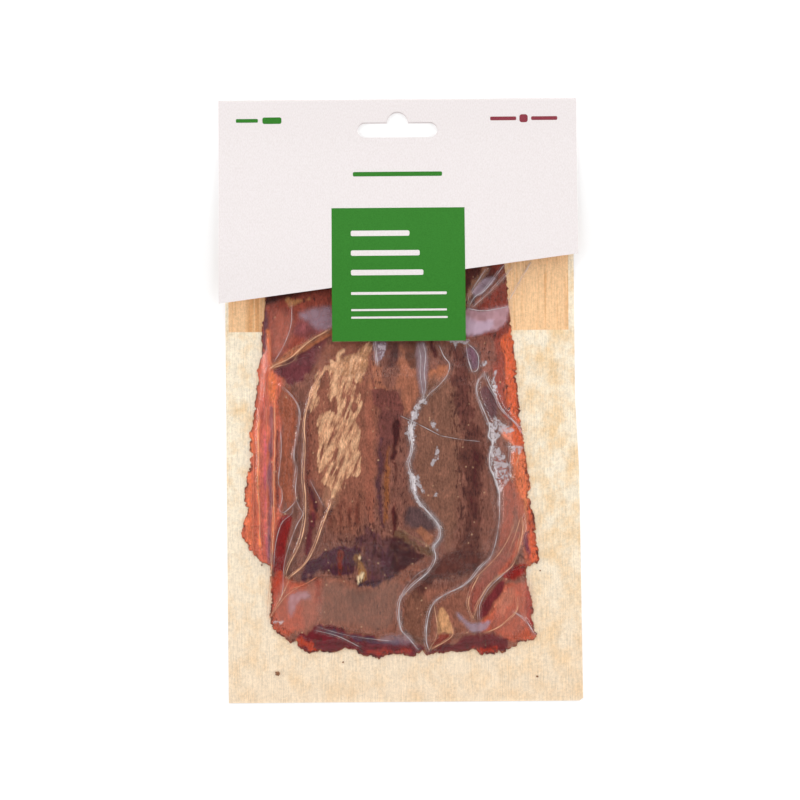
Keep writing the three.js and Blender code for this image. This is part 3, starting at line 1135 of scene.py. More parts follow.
@dataclass(frozen=True)
class Tone:
    """A tone in the meat, in mm.

    A stroke reaches to either side of its points, and a reach of 0 means a closed field. The other values are
    how soft its edge is, and how strong, ragged, leaning and streaky it is.
    """

    colour: str
    reach: float
    soft: float
    points: Points
    strength: float = 1.0
    grain: float = 0.8
    lean: float = 0.0
    streak: float = 0.0
    spacing: float = 1.0
    margin: float = 2.0

    def mask(self, grid: PlanGrid) -> Array:
        """Tell how strongly the tone covers each point of a grid.

        Args:
            grid: the plan's grid.

        Returns:
            Numbers from 0 to the tone's strength.
        """
        x, y = grid.mesh()
        path = curve_through(self.points, self.spacing, closed=not self.reach)
        if self.reach:
            depth = self.reach - grid.distance(path, self.reach + self.soft + self.margin)
        else:
            depth = grid.depth(path)
        lean = self.lean
        # Noise that frays the edge, parts the tone into fibres, and bends it sideways and lengthwise
        ragged = layered(x, y, (0.6, 11, 1.3, 6.0, lean), (0.4, 12, 0.8, 2.6, lean), (0.5, 13, 3.1, 4.7))
        fibres = layered(x, y, (0.7, 14, 0.9, 8.0, lean), (0.4, 15, 2.3, 4.0))
        sway = layered(x, y, (0.7, 18, 4.0, 4.0), (0.4, 19, 1.6, 1.6))
        lift = layered(x, y, (1.1, 20, 3.4, 3.4), (0.5, 21, 1.5, 1.5))
        gaps = 1.0 - self.streak * ease(0.25, -0.15, fibres)
        depth = grid.sample(depth, x + self.grain * sway, y + self.grain * lift)
        return self.strength * gaps * ease(-self.soft, self.soft, depth + self.grain * ragged)


# The broad tones of the meat, from the widest to the smallest, with a few painted shadows and highlights
TONES = [
    Tone("#8E5A4A", 0, 1.5, [(-60, -66), (-40, -72), (30, -74), (60, -62), (60, -108), (-60, -108)]),
    # Left margin of the upper slices: thin, glowing orange red, with stripes where slices end
    Tone("#CC6850", 0, 1.5, [(-54, 66), (-46, 62), (-48, 40), (-48, 18), (-47, 9), (-48, -14), (-52, -67),
        (-64, -62), (-67, -46), (-62, -20), (-58, 23)]),
    Tone("#94493C", 0, 1.5, [(-50, 62), (-27, 62), (-28, 30), (-36, 25), (-50, 15), (-52, 24)]),
    # Painted shade just below the card's lower edge
    Tone("#4A2824", 3, 1.5, [(-53, 42), (-28, 48)]),
    Tone("#A4503E", 0, 1.2, [(-49, 36), (-46, 34), (-44, 27), (-50, 18)]),
    Tone("#8A5054", 0, 1.5, [(-43, 28), (-36, 26), (-28, 30), (-28, 34), (-38, 33)], strength=0.8),
    Tone("#B07850", 0.8, 0.4, [(-45, 40), (-42.5, 39), (-39, 40.5), (-35.5, 41.5)]),
    Tone("#6E4048", 0.9, 0.4, [(-54.5, 38), (-54, 30), (-54, 20)]),
    Tone("#E8834E", 0.6, 0.5, [(-52.5, 28), (-52.3, 16.5)], grain=0.4),
    Tone("#D87446", 0, 0.5, [(-52, 12), (-50.5, 11.5), (-50, 1), (-51.5, 0)], grain=0.3, strength=0.85),
    Tone("#DC7450", 1.5, 0.7, [(-59.5, -6), (-61.5, -48), (-60.5, -56)]),
    Tone("#F28C52", 0.4, 0.3, [(-57, -8), (-57, -23.4), (-57.3, -31.4), (-56.6, -44.8), (-56.7, -57.6)],
        grain=0.2),
    Tone("#C05E4E", 1, 0.4, [(-54.5, 2), (-55.5, -48), (-55, -62)]),
    Tone("#C05A6A", 0.3, 0.3, [(-54, -12), (-54.2, -50), (-53.6, -62)], grain=0.3),
    Tone("#785462", 0.9, 0.45, [(-51.7, -3), (-52, -20), (-52.5, -64)], 0.85, 0.5, streak=0.2),
    Tone("#E8845A", 0.4, 0.25, [(-50.2, 4), (-50.5, -30), (-51.6, -60)], grain=0.2),
    Tone("#7C3A34", 0.5, 0.3, [(-49.3, -12), (-49.6, -30), (-49.3, -42)], grain=0.3),
    # Shoulder: brown pleats along the fold, painted shade in thin dark lines beside it, and in the hollow
    # under it
    Tone("#6A383C", 0, 0.8, [(-51.5, 12), (-44, 16), (-28, 26), (-38.5, 9), (-47.5, 9)], grain=1.2),
    Tone("#AE6A4A", 1.5, 0.4, [(-50.5, 14), (-44, 18.5), (-27.5, 27.5)], grain=0.4),
    Tone("#5E3032", 0.35, 0.3, [(-49.8, 12.4), (-27.7, 25.8)], grain=0.3),
    Tone("#5E3A38", 0.25, 0.3, [(-49.4, 15.8), (-42.1, 20.4), (-27.7, 28.8)], grain=0.3),
    # Between the left bow and the margin
    Tone("#96543F", 0, 0.8, [(-48, 5.5), (-44.5, 5.5), (-41.5, -2), (-42.5, -22), (-42, -38), (-44, -44),
        (-49, -34), (-47.5, -13)]),
    Tone("#7E4439", 2, 0.7, [(-34.5, -5), (-36, -12), (-36, -34), (-34.5, -46)]),
    Tone("#451C2A", 0, 0.4, [(-36.2, -31), (-35.4, -34), (-32.4, -40.5), (-33, -45), (-35.4, -43)]),
    Tone("#643034", 1.3, 0.6, [(-35, -45), (-37.5, -60)]),
    Tone("#862822", 0, 0.5, [(-48.5, -46.5), (-44, -45), (-46, -58), (-47.5, -68.5), (-51, -68.5),
        (-49.5, -50)], grain=0.2),
    # Dry, paler muscle that the film presses flat
    Tone("#8C5848", 0, 2.5, [(-30, 22), (-12, 23), (-18, -52), (-30, -50), (-36, 4)]),
    Tone("#B4825F", 0, 0.4, [(-27.4, 14), (-23, 17.2), (-19.4, 18), (-15.7, 20.3), (-11.7, 23.5),
        (-13.8, 13.9), (-15.4, 9.9), (-15.9, 5.1), (-17, 7.5), (-20.2, 9.6), (-24.2, 9.2), (-27.4, 11.2)],
        grain=1.0, lean=0.35),
    Tone("#E0B08A", 0.3, 0.25, [(-27.8, 16), (-26.6, 14.8), (-25, 15.2), (-24.6, 17.6), (-23.3, 20.8)]),
    Tone("#AC7A62", 0, 0.8, [(-30, -34), (-25, -34), (-25, -40), (-28, -44), (-31.5, -40)], strength=0.7),
    Tone("#6E3E34", 5, 2.5, [(-26, -45), (-14, -44)], streak=1.0),
    # Middle: brown ribs and dark hollows
    Tone("#A06650", 0, 0.8, [(-11.5, 22), (-8, 16), (-7.5, 6), (-2, 5), (0, 22), (7, 8), (3.5, -5), (0, -2),
        (0.5, 4), (-11, 4.5)]),
    Tone("#7A4840", 0.25, 0.3, [(-10.3, 23.1), (-12, 13.9), (-9.1, -0.1), (-9.6, -15.7), (-9.8, -34.1)],
        grain=0.2),
    Tone("#975C4B", 1.5, 1, [(-12.5, 0), (-12, -48)]),
    Tone("#573734", 0, 0.4, [(-4.2, 23), (-0.9, 23), (-0.7, 15), (-5.5, 13.3)], grain=0.7, streak=0.5),
    Tone("#6E463A", 0, 0.4, [(2.3, 22.8), (6.5, 23), (6.4, 14.1), (3.2, 13.9)], grain=0.7, streak=0.5),
    Tone("#75453F", 0, 0.5, [(-10.5, 4), (-6, 4), (-2, 3.5), (0.5, -4), (-2, -4.5), (-4.5, -3), (-10, -4)],
        grain=0.7),
    Tone("#734540", 0, 0.6, [(-8.5, -4), (0.5, -6), (-3.5, -18), (-6, -28), (-8.5, -27.5), (-9, -15.5)]),
    Tone("#5C3A3E", 0.8, 0.4, [(-8, -15.5), (-9, -39.5), (-7.5, -49.5)], grain=0.8),
    Tone("#8E5638", 0.6, 0.4, [(-4.9, -18.2), (-5.6, -27), (-5.9, -39.8), (-6.7, -48)], grain=0.8),
    Tone("#461A1C", 0, 0.5, [(-3, -7.5), (-0.5, -8), (-1.5, -18), (-2, -23), (-4, -23.5), (-3, -12)],
        grain=0.7),
    Tone("#4E2220", 0.5, 0.4, [(-3.1, -23.8), (-1.9, -26), (-2.5, -31.8), (-2.9, -39.8), (-2.6, -47.8),
        (-3.1, -53)], grain=0.8),
    Tone("#8C6C68", 0, 0.4, [(7.8, 23), (9.6, 23), (9.9, 8), (8.6, 3)], grain=0.4),
    Tone("#5C3230", 0.7, 0.4, [(12.5, 23), (14, 17.5)]),
    Tone("#A8694E", 0, 0.8, [(12, 11.5), (18, 13.5), (19, 11.5), (11, 4)]),
    Tone("#5E4646", 0, 1.1, [(1.5, -43), (4, -41.5), (14.5, -48.5), (14, -51), (1.5, -49.5)]),
    Tone("#82594A", 0, 2, [(11, 8), (20, 8), (22, -47), (18, -60), (14, -48), (6, -36)]),
    Tone("#653C37", 0, 1, [(20, 21.5), (26.5, 20), (27.5, 2), (28, -6.5), (26, -9.5), (20.5, -3), (21, 13)],
        grain=1.6, strength=0.85),
    Tone("#603A34", 0, 1.1, [(25.5, -10), (31, -9.5), (32, -32), (29.5, -59), (24, -62.5), (25.5, -48)],
        grain=1.6, strength=0.85),
    Tone("#4E2A2A", 0.8, 1, [(29.5, -12), (30, -21), (28.5, -34), (28.5, -44)], grain=1.2, streak=0.6),
    # Right margin
    Tone("#E4886A", 0, 0.5, [(40, -12), (46, -11), (49, -18), (44.5, -19)]),
    Tone("#9C4C3E", 0, 0.7, [(36.5, 27), (42, 27), (41.5, 12), (42.5, 0), (46, -10), (41.5, -7), (38, -1),
        (37, 8)]),
    Tone("#D2613C", 0, 0.5, [(41.5, 29), (46, 28), (47, 3), (50.5, -18), (45, -18), (44, -8), (42, 0),
        (41.5, 12)], grain=0.7),
    Tone("#6B4648", 0, 0.4, [(31.1, 5.5), (35.7, 4.3), (38, -1), (35.8, -8)]),
    Tone("#7A5664", 0, 0.4, [(26.4, 19.1), (27.6, 21.8), (30.1, 19.1), (30.8, 14.5), (29.6, 11.8),
        (28.1, 13)]),
    Tone("#B05C44", 0, 0.8, [(44, -20), (52.5, -20), (53, -40), (58, -68), (50, -66), (47.5, -56),
        (44.5, -32)]),
    Tone("#DE7850", 0, 0.6, [(43.6, -20.5), (48.5, -19), (51.5, -36), (50, -42), (46, -36), (44.2, -27)]),
    Tone("#D06040", 0, 0.5, [(49.5, -40), (51.5, -44), (52.5, -52), (54.5, -65), (51, -63.5), (50.5, -54)]),
    Tone("#A05240", 2.2, 1.2, [(39, -24), (42, -34), (43, -46), (41, -58)]),
    Tone("#945044", 0, 0.6, [(26.5, -75.5), (31, -70), (46, -53), (47.5, -56.5), (44, -66), (38, -69.5),
        (33, -75.5), (28, -86.5)]),
    Tone("#D08458", 0.7, 0.5, [(49.4, -40), (49.4, -46.5), (48.3, -54), (46, -60)], 0.8, 0.5),
    Tone("#BE5A40", 0.9, 0.6, [(39, -69.5), (43.6, -64), (46.4, -57)], 0.8, 0.5),
    Tone("#7B3A48", 0.8, 0.4, [(49.6, -54.5), (49.8, -59.5), (51, -63)]),
    Tone("#8F2C24", 0, 0.8, [(40, -69.5), (50.5, -65.5), (49, -70), (43.5, -71.5)]),
    # Where the upper slices end: shadowed hollows
    Tone("#5E3832", 0, 1.2, [(20, -60), (32, -60), (30, -67), (14, -71), (5, -83), (5, -75), (11, -69)]),
    Tone("#56353C", 0, 0.8, [(-16, -51.5), (-12, -50.5), (-2.5, -56), (-3, -70), (-7.5, -71.5), (-14.5, -73),
        (-17.5, -69.5), (-16, -63.5)], grain=1.6, streak=0.3),
    Tone("#71503E", 0, 0.5, [(-2, -51), (7.5, -57), (12, -58.5), (12.5, -61), (7, -60.5), (1.5, -57),
        (-2.5, -55)]),
    Tone("#47282A", 0, 0.4, [(-3.5, -54.6), (0.9, -55.8), (5.2, -59), (9.4, -61.3), (0.4, -67), (-3.4, -69.4),
        (-3.2, -63.8)], grain=0.8, lean=0.3),
    Tone("#A07C60", 0.3, 0.3, [(-1.5, -50.4), (4.4, -54.2), (11.6, -58.2)], strength=0.8, grain=0.3),
    Tone("#9E664E", 0, 0.5, [(5.5, -51.5), (8.5, -50.5), (12, -54), (12, -57)]),
    Tone("#3E2028", 0.5, 0.5, [(-12.3, -50.9), (-11.1, -55.7), (-11.6, -60.5)], grain=1.0),
    Tone("#915C4B", 0, 0.7, [(-32, -70), (-20, -72), (-15.5, -74), (0.5, -68), (10.5, -63), (-2.5, -77),
        (-3.5, -84), (-6, -92), (-9.5, -93.5), (-21, -91), (-34.5, -89), (-33, -82.5)]),
    Tone("#53303A", 0, 0.5, [(-35.5, -63), (-18, -57), (-21, -69), (-33, -68), (-40, -70.5)], grain=1.2),
    Tone("#7E362A", 0.8, 0.5, [(-25, -61), (-24.5, -69)], grain=1.2),
    # An ochre streak, with two pale spots on it that are painted highlights
    Tone("#9A6A44", 1.3, 0.6, [(-18, -62), (-16.5, -66), (-16, -71)], grain=1.2),
    Tone("#EBD0A8", 0.35, 0.3, [(-18.4, -69.7), (-17.7, -71.7), (-16, -69.3)], grain=1.0),
    Tone("#EBD0A8", 0.4, 0.3, [(-16.8, -62.1), (-16.4, -62.9)]),
    # A painted shadow line along the lower end of the upper slices
    Tone("#4A3440", 0.5, 0.4, [(-16.9, -72.9), (-9.7, -72.2), (-3, -69.8)], grain=1.0),
    # Lower left corner
    Tone("#B8573F", 0, 1.2, [(-53, -69), (-42, -72), (-37, -73), (-39, -90), (-49, -93), (-54, -88)],
        grain=1.2),
    Tone("#A0604E", 0, 1.2, [(-38, -73), (-32, -70), (-34, -88), (-39, -90)]),
    Tone("#B4432D", 0, 0.4, [(-51, -69), (-47.6, -69), (-48.3, -75), (-50.5, -80), (-52.6, -85)]),
    Tone("#8E4032", 1, 0.6, [(-34, -70.5), (-34.5, -80.5)]),
    Tone("#6C242C", 0, 0.5, [(-42, -95.5), (-33, -89), (-17, -93.5), (-1, -96), (8, -97), (8, -103),
        (-25, -102), (-41, -101.5)], grain=1.0),
    Tone("#B8442C", 1.3, 0.8, [(-41, -96.5), (-37, -97), (-35.5, -99)]),
    Tone("#A03A30", 1, 0.7, [(-13, -100), (-5, -100.5), (3, -100)]),
    Tone("#503040", 0.7, 0.5, [(-33, -90.5), (-24, -93.5), (-14, -95.5), (-2, -96.5)], grain=1.0),
    Tone("#6C4438", 0, 1.2, [(-21, -76), (-14, -75), (-12, -80), (-17, -84), (-21, -81)], grain=1.4,
        strength=0.7),
    # Lower right corner
    Tone("#7C5142", 0, 0.8, [(3, -76.5), (10, -79), (9, -96), (3.5, -96), (0.5, -91)]),
    Tone("#B85A42", 0, 0.8, [(34, -86), (43.5, -72.5), (47, -73.5), (51.5, -71), (53, -88), (55, -95),
        (41.5, -96), (38, -92.5), (30, -92.5)]),
    Tone("#C8785C", 0, 1, [(37, -82), (44.5, -74.5), (44, -80), (40, -86)], strength=0.9),
    Tone("#9E2E24", 1.5, 0.7, [(50.5, -74), (52, -90)]),
    Tone("#722F32", 0, 0.4, [(30.6, -87.6), (31.5, -82.4), (40.3, -71.7), (40.3, -76.1), (36.7, -81.3),
        (33.8, -85.7)], grain=0.4),
    Tone("#C49068", 0, 0.4, [(14.6, -83.4), (17, -84.7), (20.3, -93), (16.9, -92), (14.3, -93.3)],
        grain=0.6),
    Tone("#8A3C30", 0, 0.6, [(12, -98.5), (14.5, -93.5), (18.5, -93), (19, -95.5), (16, -98.5)]),
    Tone("#6C2E30", 0, 0.6, [(8.5, -103), (12, -99.5), (19, -97.5), (25.5, -95), (40, -94), (42, -98),
        (38, -103)], grain=1.0),
    Tone("#AE3C2C", 1.2, 0.7, [(28, -99.5), (37.5, -100)]),
    # Upper right, below the card's edge
    Tone("#8A3F34", 0, 1, [(27, 54), (43, 56), (44, 40), (43, 26), (27, 26)]),
    Tone("#5A302C", 0, 1, [(26, 52), (36, 55), (36, 46), (31, 38), (26, 37)], grain=1.2),
    Tone("#96664E", 1.2, 0.4, [(27, 38.5), (28, 42.5), (34.5, 52.5)], grain=0.5),
    Tone("#965A4A", 1.3, 0.4, [(29, 37.5), (40, 48), (43.5, 52.5)], grain=0.5),
    Tone("#8A564A", 0, 0.8, [(26, 25), (36.5, 24), (36, 8), (31.5, 12), (31, 20)]),
]


@dataclass(frozen=True)
class StreakField:
    """A field of streaks: how far they fill it, or leave it out if negative, and its outline in mm."""

    fill: float
    points: Points


DRY_FIELDS = [
    StreakField(0.5, [(-28.2, 9.6), (-26.6, 11.2), (-23.4, 9.6), (-19.8, 9.2), (-18.7, 5.9), (-17.1, 3.1),
        (-16.3, -1.3), (-16.7, -4.5), (-17.6, -7.7), (-16.8, -12.5), (-16.5, -24.5), (-16.9, -29.3),
        (-19.7, -29.6), (-22.5, -31.6), (-23.4, -34), (-26.6, -38.4), (-28.2, -34.4), (-31.4, -32),
        (-31.7, -29.2), (-32.9, -27.9), (-32.5, -22.7), (-32.8, -14.3), (-32.4, -11.5), (-33.2, -9.1),
        (-32.3, -5.9), (-29.9, -4), (-26.7, -4.8), (-24.8, -6.8), (-25.5, 2.8), (-27.1, 2), (-28.3, 0),
        (-28.7, 2.4), (-28.3, 6)]),
    StreakField(-0.4, [(-22.3, 2), (-20.3, 2), (-20.8, -7.2), (-22, -7.2), (-22.3, -2.8)]),
    StreakField(-0.4, [(-19.5, -0.8), (-17.1, -1.3), (-17.5, -4.1), (-19.1, -4.8)]),
    StreakField(-0.2, [(-27.3, -20.8), (-25.3, -19.2), (-26.1, -28.8), (-28.1, -29.2)]),
    StreakField(-0.3, [(-24.8, -8.4), (-27.2, -15.6), (-28.9, -20.4), (-29.3, -19.2), (-27.6, -14),
        (-26.4, -10.4)]),
    StreakField(-0.3, [(-32.5, -23.5), (-30.8, -18.8), (-30.5, -19.6), (-32.1, -24.3)]),
    StreakField(1.0, [(-30.6, 13.2), (-28.2, 14), (-27.4, 12), (-30.2, 12), (-33.1, 4.9), (-34.3, 2.5),
        (-32.7, 2.1), (-32.7, -0.3), (-36.3, -3.9), (-36.7, -1.1), (-33.4, 10.1)]),
    StreakField(0.06, [(-27.4, 14), (-19.4, 18), (-12.9, 22.7), (-11.7, 23.5), (-12.1, 19.5), (-17, 7.5),
        (-20.2, 9.6), (-24.2, 9.2), (-27.4, 11.2)]),
    StreakField(0.5, [(-31.8, -2.2), (-31.4, -1.2), (-30.5, -0.2), (-30.5, -0.8)]),
]
# Dark pits and seams
PIT_FIELDS = [
    StreakField(0.32, [(20, 22), (27, 21), (30, -8), (34, -16), (33, -32), (30, -60), (22, -64), (22, -46),
        (19, 6)]),
    StreakField(0.14, [(-11, 22), (-1, 22), (-2, 4), (1, -6), (2, -24), (1, -50), (-9, -50), (-10, -24),
        (-11, 4)]),
    StreakField(0.16, [(-36, 0), (-34, -8), (-34, -30), (-28, -42), (-12, -36), (-14, -60), (-33, -60)]),
    StreakField(0.3, [(-16, -50), (-9, -48), (-3, -53), (11, -60), (3, -66), (-3, -71), (-15, -74),
        (-24, -70), (-36, -68), (-36, -62), (-22, -56)]),
    StreakField(0.04, [(-13, -76), (12, -64), (28, -64), (18, -76), (10, -80), (4, -80), (2, -96),
        (-10, -94)]),
    StreakField(0.15, [(-42, -97), (-20, -94), (0, -97), (20, -98), (40, -96), (44, -103), (-44, -103)]),
    StreakField(0.1, [(-46, 60), (-27, 60), (-27, 40), (-44, 42)]),
    StreakField(0.1, [(27, 60), (44, 60), (44, 24), (36, 10), (31, 12), (31, 22), (26, 24)]),
    StreakField(0.1, [(38, 8), (46, 6), (48, -6), (40, -4)]),
    StreakField(0.04, [(36, -24), (46, -22), (54, -62), (46, -64), (44, -44), (38, -36)]),
]


@dataclass(frozen=True)
class Slice:
    """A slice, in mm: how much its rim swings in lobes, how much dark crust it shows, and its outline."""

    name: str
    thickness: float
    seed: int
    lobes: float
    crust: float
    points: Points
    spacing: float = 0.36
    # The torn rim: how long and how uneven its lobes are, and how far its tears, teeth and notches reach
    lobe: float = 6.0
    wander: float = 5.0
    tear: float = 0.26
    tooth: float = 0.3
    notch: float = 0.8

    def outline(self) -> Array:
        """Draw the slice's torn rim.

        Returns:
            The outline as x, y rows.
        """
        drawn = split_edges(self.points, self.spacing)
        ahead = np.roll(drawn, -5, axis=0) - np.roll(drawn, 5, axis=0)
        area = np.sum(drawn[:, 0] * np.roll(drawn[:, 1], -1) - drawn[:, 1] * np.roll(drawn[:, 0], -1))
        length = np.maximum(np.hypot(ahead[:, 0], ahead[:, 1]), 1e-6)
        outward = np.column_stack([ahead[:, 1], -ahead[:, 0]]) / length[:, None] * math.copysign(1.0, area)
        along = np.cumsum(np.hypot(*(drawn - np.roll(drawn, 1, axis=0)).T))
        # Noise along the rim, in cells of these widths in mm
        swings, tears, teeth, notches = (
            ValueNoise(self.seed + number, width, 1.0).at(along, along * 0)
            for number, width in enumerate((13.0, 1.5, 0.62, 1.2))
        )
        cusps = np.abs(np.sin(math.pi * (along + self.wander * swings) / self.lobe)) - 0.6
        push = self.lobes * cusps + self.tear * tears + self.tooth * teeth
        push -= self.notch * ease(0.5, 0.9, notches)
        return drawn + outward * push[:, None]


UPPER_RIM: Points = [
    (-51.8, 66), (-30, 69), (0, 70), (20, 69), (39.5, 66), (42.7, 48.3), (43.6, 36.8), (44.6, 30.6), (44, 26),
    (45.3, 23.3), (45.8, 16), (46.6, 10.8), (45.8, 6.9), (46.8, 5.9), (46.6, 2.4), (47.5, -4.3), (46.9, -6.6),
    (48.3, -11), (51.6, -35), (50.3, -37.5), (51.3, -39.7), (52.5, -44.5), (53.6, -50.9), (53.6, -55.7),
    (54.7, -63.7), (54, -65.6), (52.5, -65.2), (50.9, -66.8), (47, -67.5), (38, -52), (-40, -50), (-48, -64),
    (-53.1, -65.5), (-56.9, -63.7), (-61.3, -59.3), (-61.6, -56.9), (-64.2, -54.1), (-63.1, -48.5),
    (-61.6, -43.7), (-62.6, -42.1), (-62.7, -36), (-61.9, -32.5), (-61.5, -28.1), (-60.3, -26.5),
    (-60.2, -23), (-58.9, -21.7), (-60.4, -19.3), (-60.7, -12.1), (-59.6, -10.5), (-58.5, -2.9), (-57.6, 6.7),
    (-56, 8.7), (-57.2, 8.9), (-57.2, 12.5), (-56, 16.3), (-55, 18.3), (-55.5, 24.7), (-55.1, 29.2),
    (-54.2, 34.4),
]
LOWER_RIM: Points = [
    (-55, 20), (0, 24), (42, 18), (45, -30), (50, -64), (49.3, -70), (50.5, -75.5), (52.2, -81.3),
    (52, -87.8), (52.3, -90.6), (53.8, -93.8), (52.5, -96), (46.6, -96.8), (45.3, -98.4), (39.4, -101.2),
    (38.3, -99.9), (36.8, -101.8), (31.6, -102), (29, -99.6), (22.4, -100.7), (13, -101), (9.8, -101.8),
    (7.8, -100.2), (4.1, -102.6), (-0.3, -101.6), (-5.1, -101.3), (-9.7, -103.1), (-17.6, -101.2),
    (-18.7, -99.2), (-21.3, -99.5), (-23.3, -98.2), (-24.7, -99.5), (-28.3, -100.6), (-33.1, -99.7),
    (-37.2, -100.8), (-41.2, -99), (-42.3, -96), (-44.6, -96.8), (-50.7, -91.9), (-53, -88.8), (-52.3, -78.4),
    (-52.8, -66), (-57, -58), (-58, -30),
]
# The stack from the bottom up. The upper slices end higher on the pack than the lower ones.
SLICES = [
    Slice("slice_lower_1", 0.85, 21, 0.2, 1.0, LOWER_RIM),
    Slice("slice_lower_2", 0.85, 31, 0.2, 0.35, [(-51, 15), (0, 18), (38, 12), (42, -40), (48.5, -68),
        (49.5, -80), (49, -90), (43, -95.5), (8, -98.5), (-8, -99), (-24, -96.6), (-36, -97), (-43, -93.5),
        (-50, -89), (-51.3, -80), (-51.2, -66), (-54.6, -56), (-55, -20)]),
    Slice("slice_lower_3", 0.85, 41, 0.12, 0.2, [(-44, 8), (0, 11), (33, 6), (37, -40), (43, -68),
        (41, -80), (36, -89.5), (24, -94), (10, -97), (0, -94), (-9.3, -93.8), (-21.1, -91.4),
        (-34.4, -89.6), (-32.5, -82), (-31.6, -70), (-42, -60), (-46, -40)]),
    Slice("slice_upper_1", 0.62, 51, 0.2, 1.0, UPPER_RIM),
    Slice("slice_upper_2", 0.62, 61, 0.2, 0.2, [(-50, 63), (0, 66), (38, 63), (41.5, 45), (45.4, -3),
        (49, -28), (49.4, -40), (52.2, -58), (50.6, -64), (42, -60), (30, -56), (-35, -56), (-46, -62),
        (-52, -63), (-58.6, -59), (-60.6, -52), (-58.6, -15), (-54.6, 20), (-53.4, 39)]),
    Slice("slice_upper_3", 0.62, 71, 0.12, 0.1, [(-47, 60), (0, 63), (36, 60), (39.5, 45), (41, 25),
        (42, 0), (45, -22), (46, -35), (47.6, -47), (47.5, -57), (44.5, -66), (38, -62), (25, -60),
        (-30, -60), (-50, -64), (-55.4, -61), (-56.8, -56), (-57.2, -31), (-55.8, -12), (-54.3, 0),
        (-51.8, 35)]),
    Slice("slice_upper_4", 0.62, 81, 0.1, 0.0, [(-44, 57), (0, 60), (33, 57), (37, 40), (38.4, 20),
        (39, -1), (41, -8), (42.6, -20), (43.2, -35), (42.4, -50), (39.4, -62), (34, -68), (24, -64),
        (-25, -64), (-48, -67.5), (-52, -66), (-50.8, -46), (-50.2, 30)]),
    Slice("slice_upper_5", 0.62, 91, 0.08, 0.0, [(-40, 54), (0, 57), (30, 54), (35, 40), (36, 25), (36, 0),
        (38.6, -30), (38.8, -48), (36.9, -58.4), (31, -67), (20, -71), (8, -71), (-3, -69.8),
        (-15.6, -73.2), (-20, -70.6), (-32, -69.6), (-40.5, -71), (-47.7, -68.8), (-50.9, -68.8),
        (-50.6, -60), (-48.2, -44), (-48.8, -32), (-47.8, -20), (-47, 26)]),
    Slice("slice_upper_6", 0.62, 101, 0.08, 0.0, [(-34, 51), (0, 54), (25, 51), (30, 40), (30.8, 12),
        (30.3, 3), (34.8, -12), (35.1, -27), (37.4, -36), (37.6, -48), (35, -60), (28, -68.5), (14, -70),
        (6, -68), (-3.4, -68.4), (-15, -66), (-20, -60), (-32, -62.5), (-42, -69.5), (-45.2, -66),
        (-40.9, -56.7), (-38.6, -47), (-38.3, -38), (-39, -29), (-38.1, -17), (-38.4, -10), (-37.4, -3),
        (-32.4, 12), (-34, 24), (-35, 38)]),
]


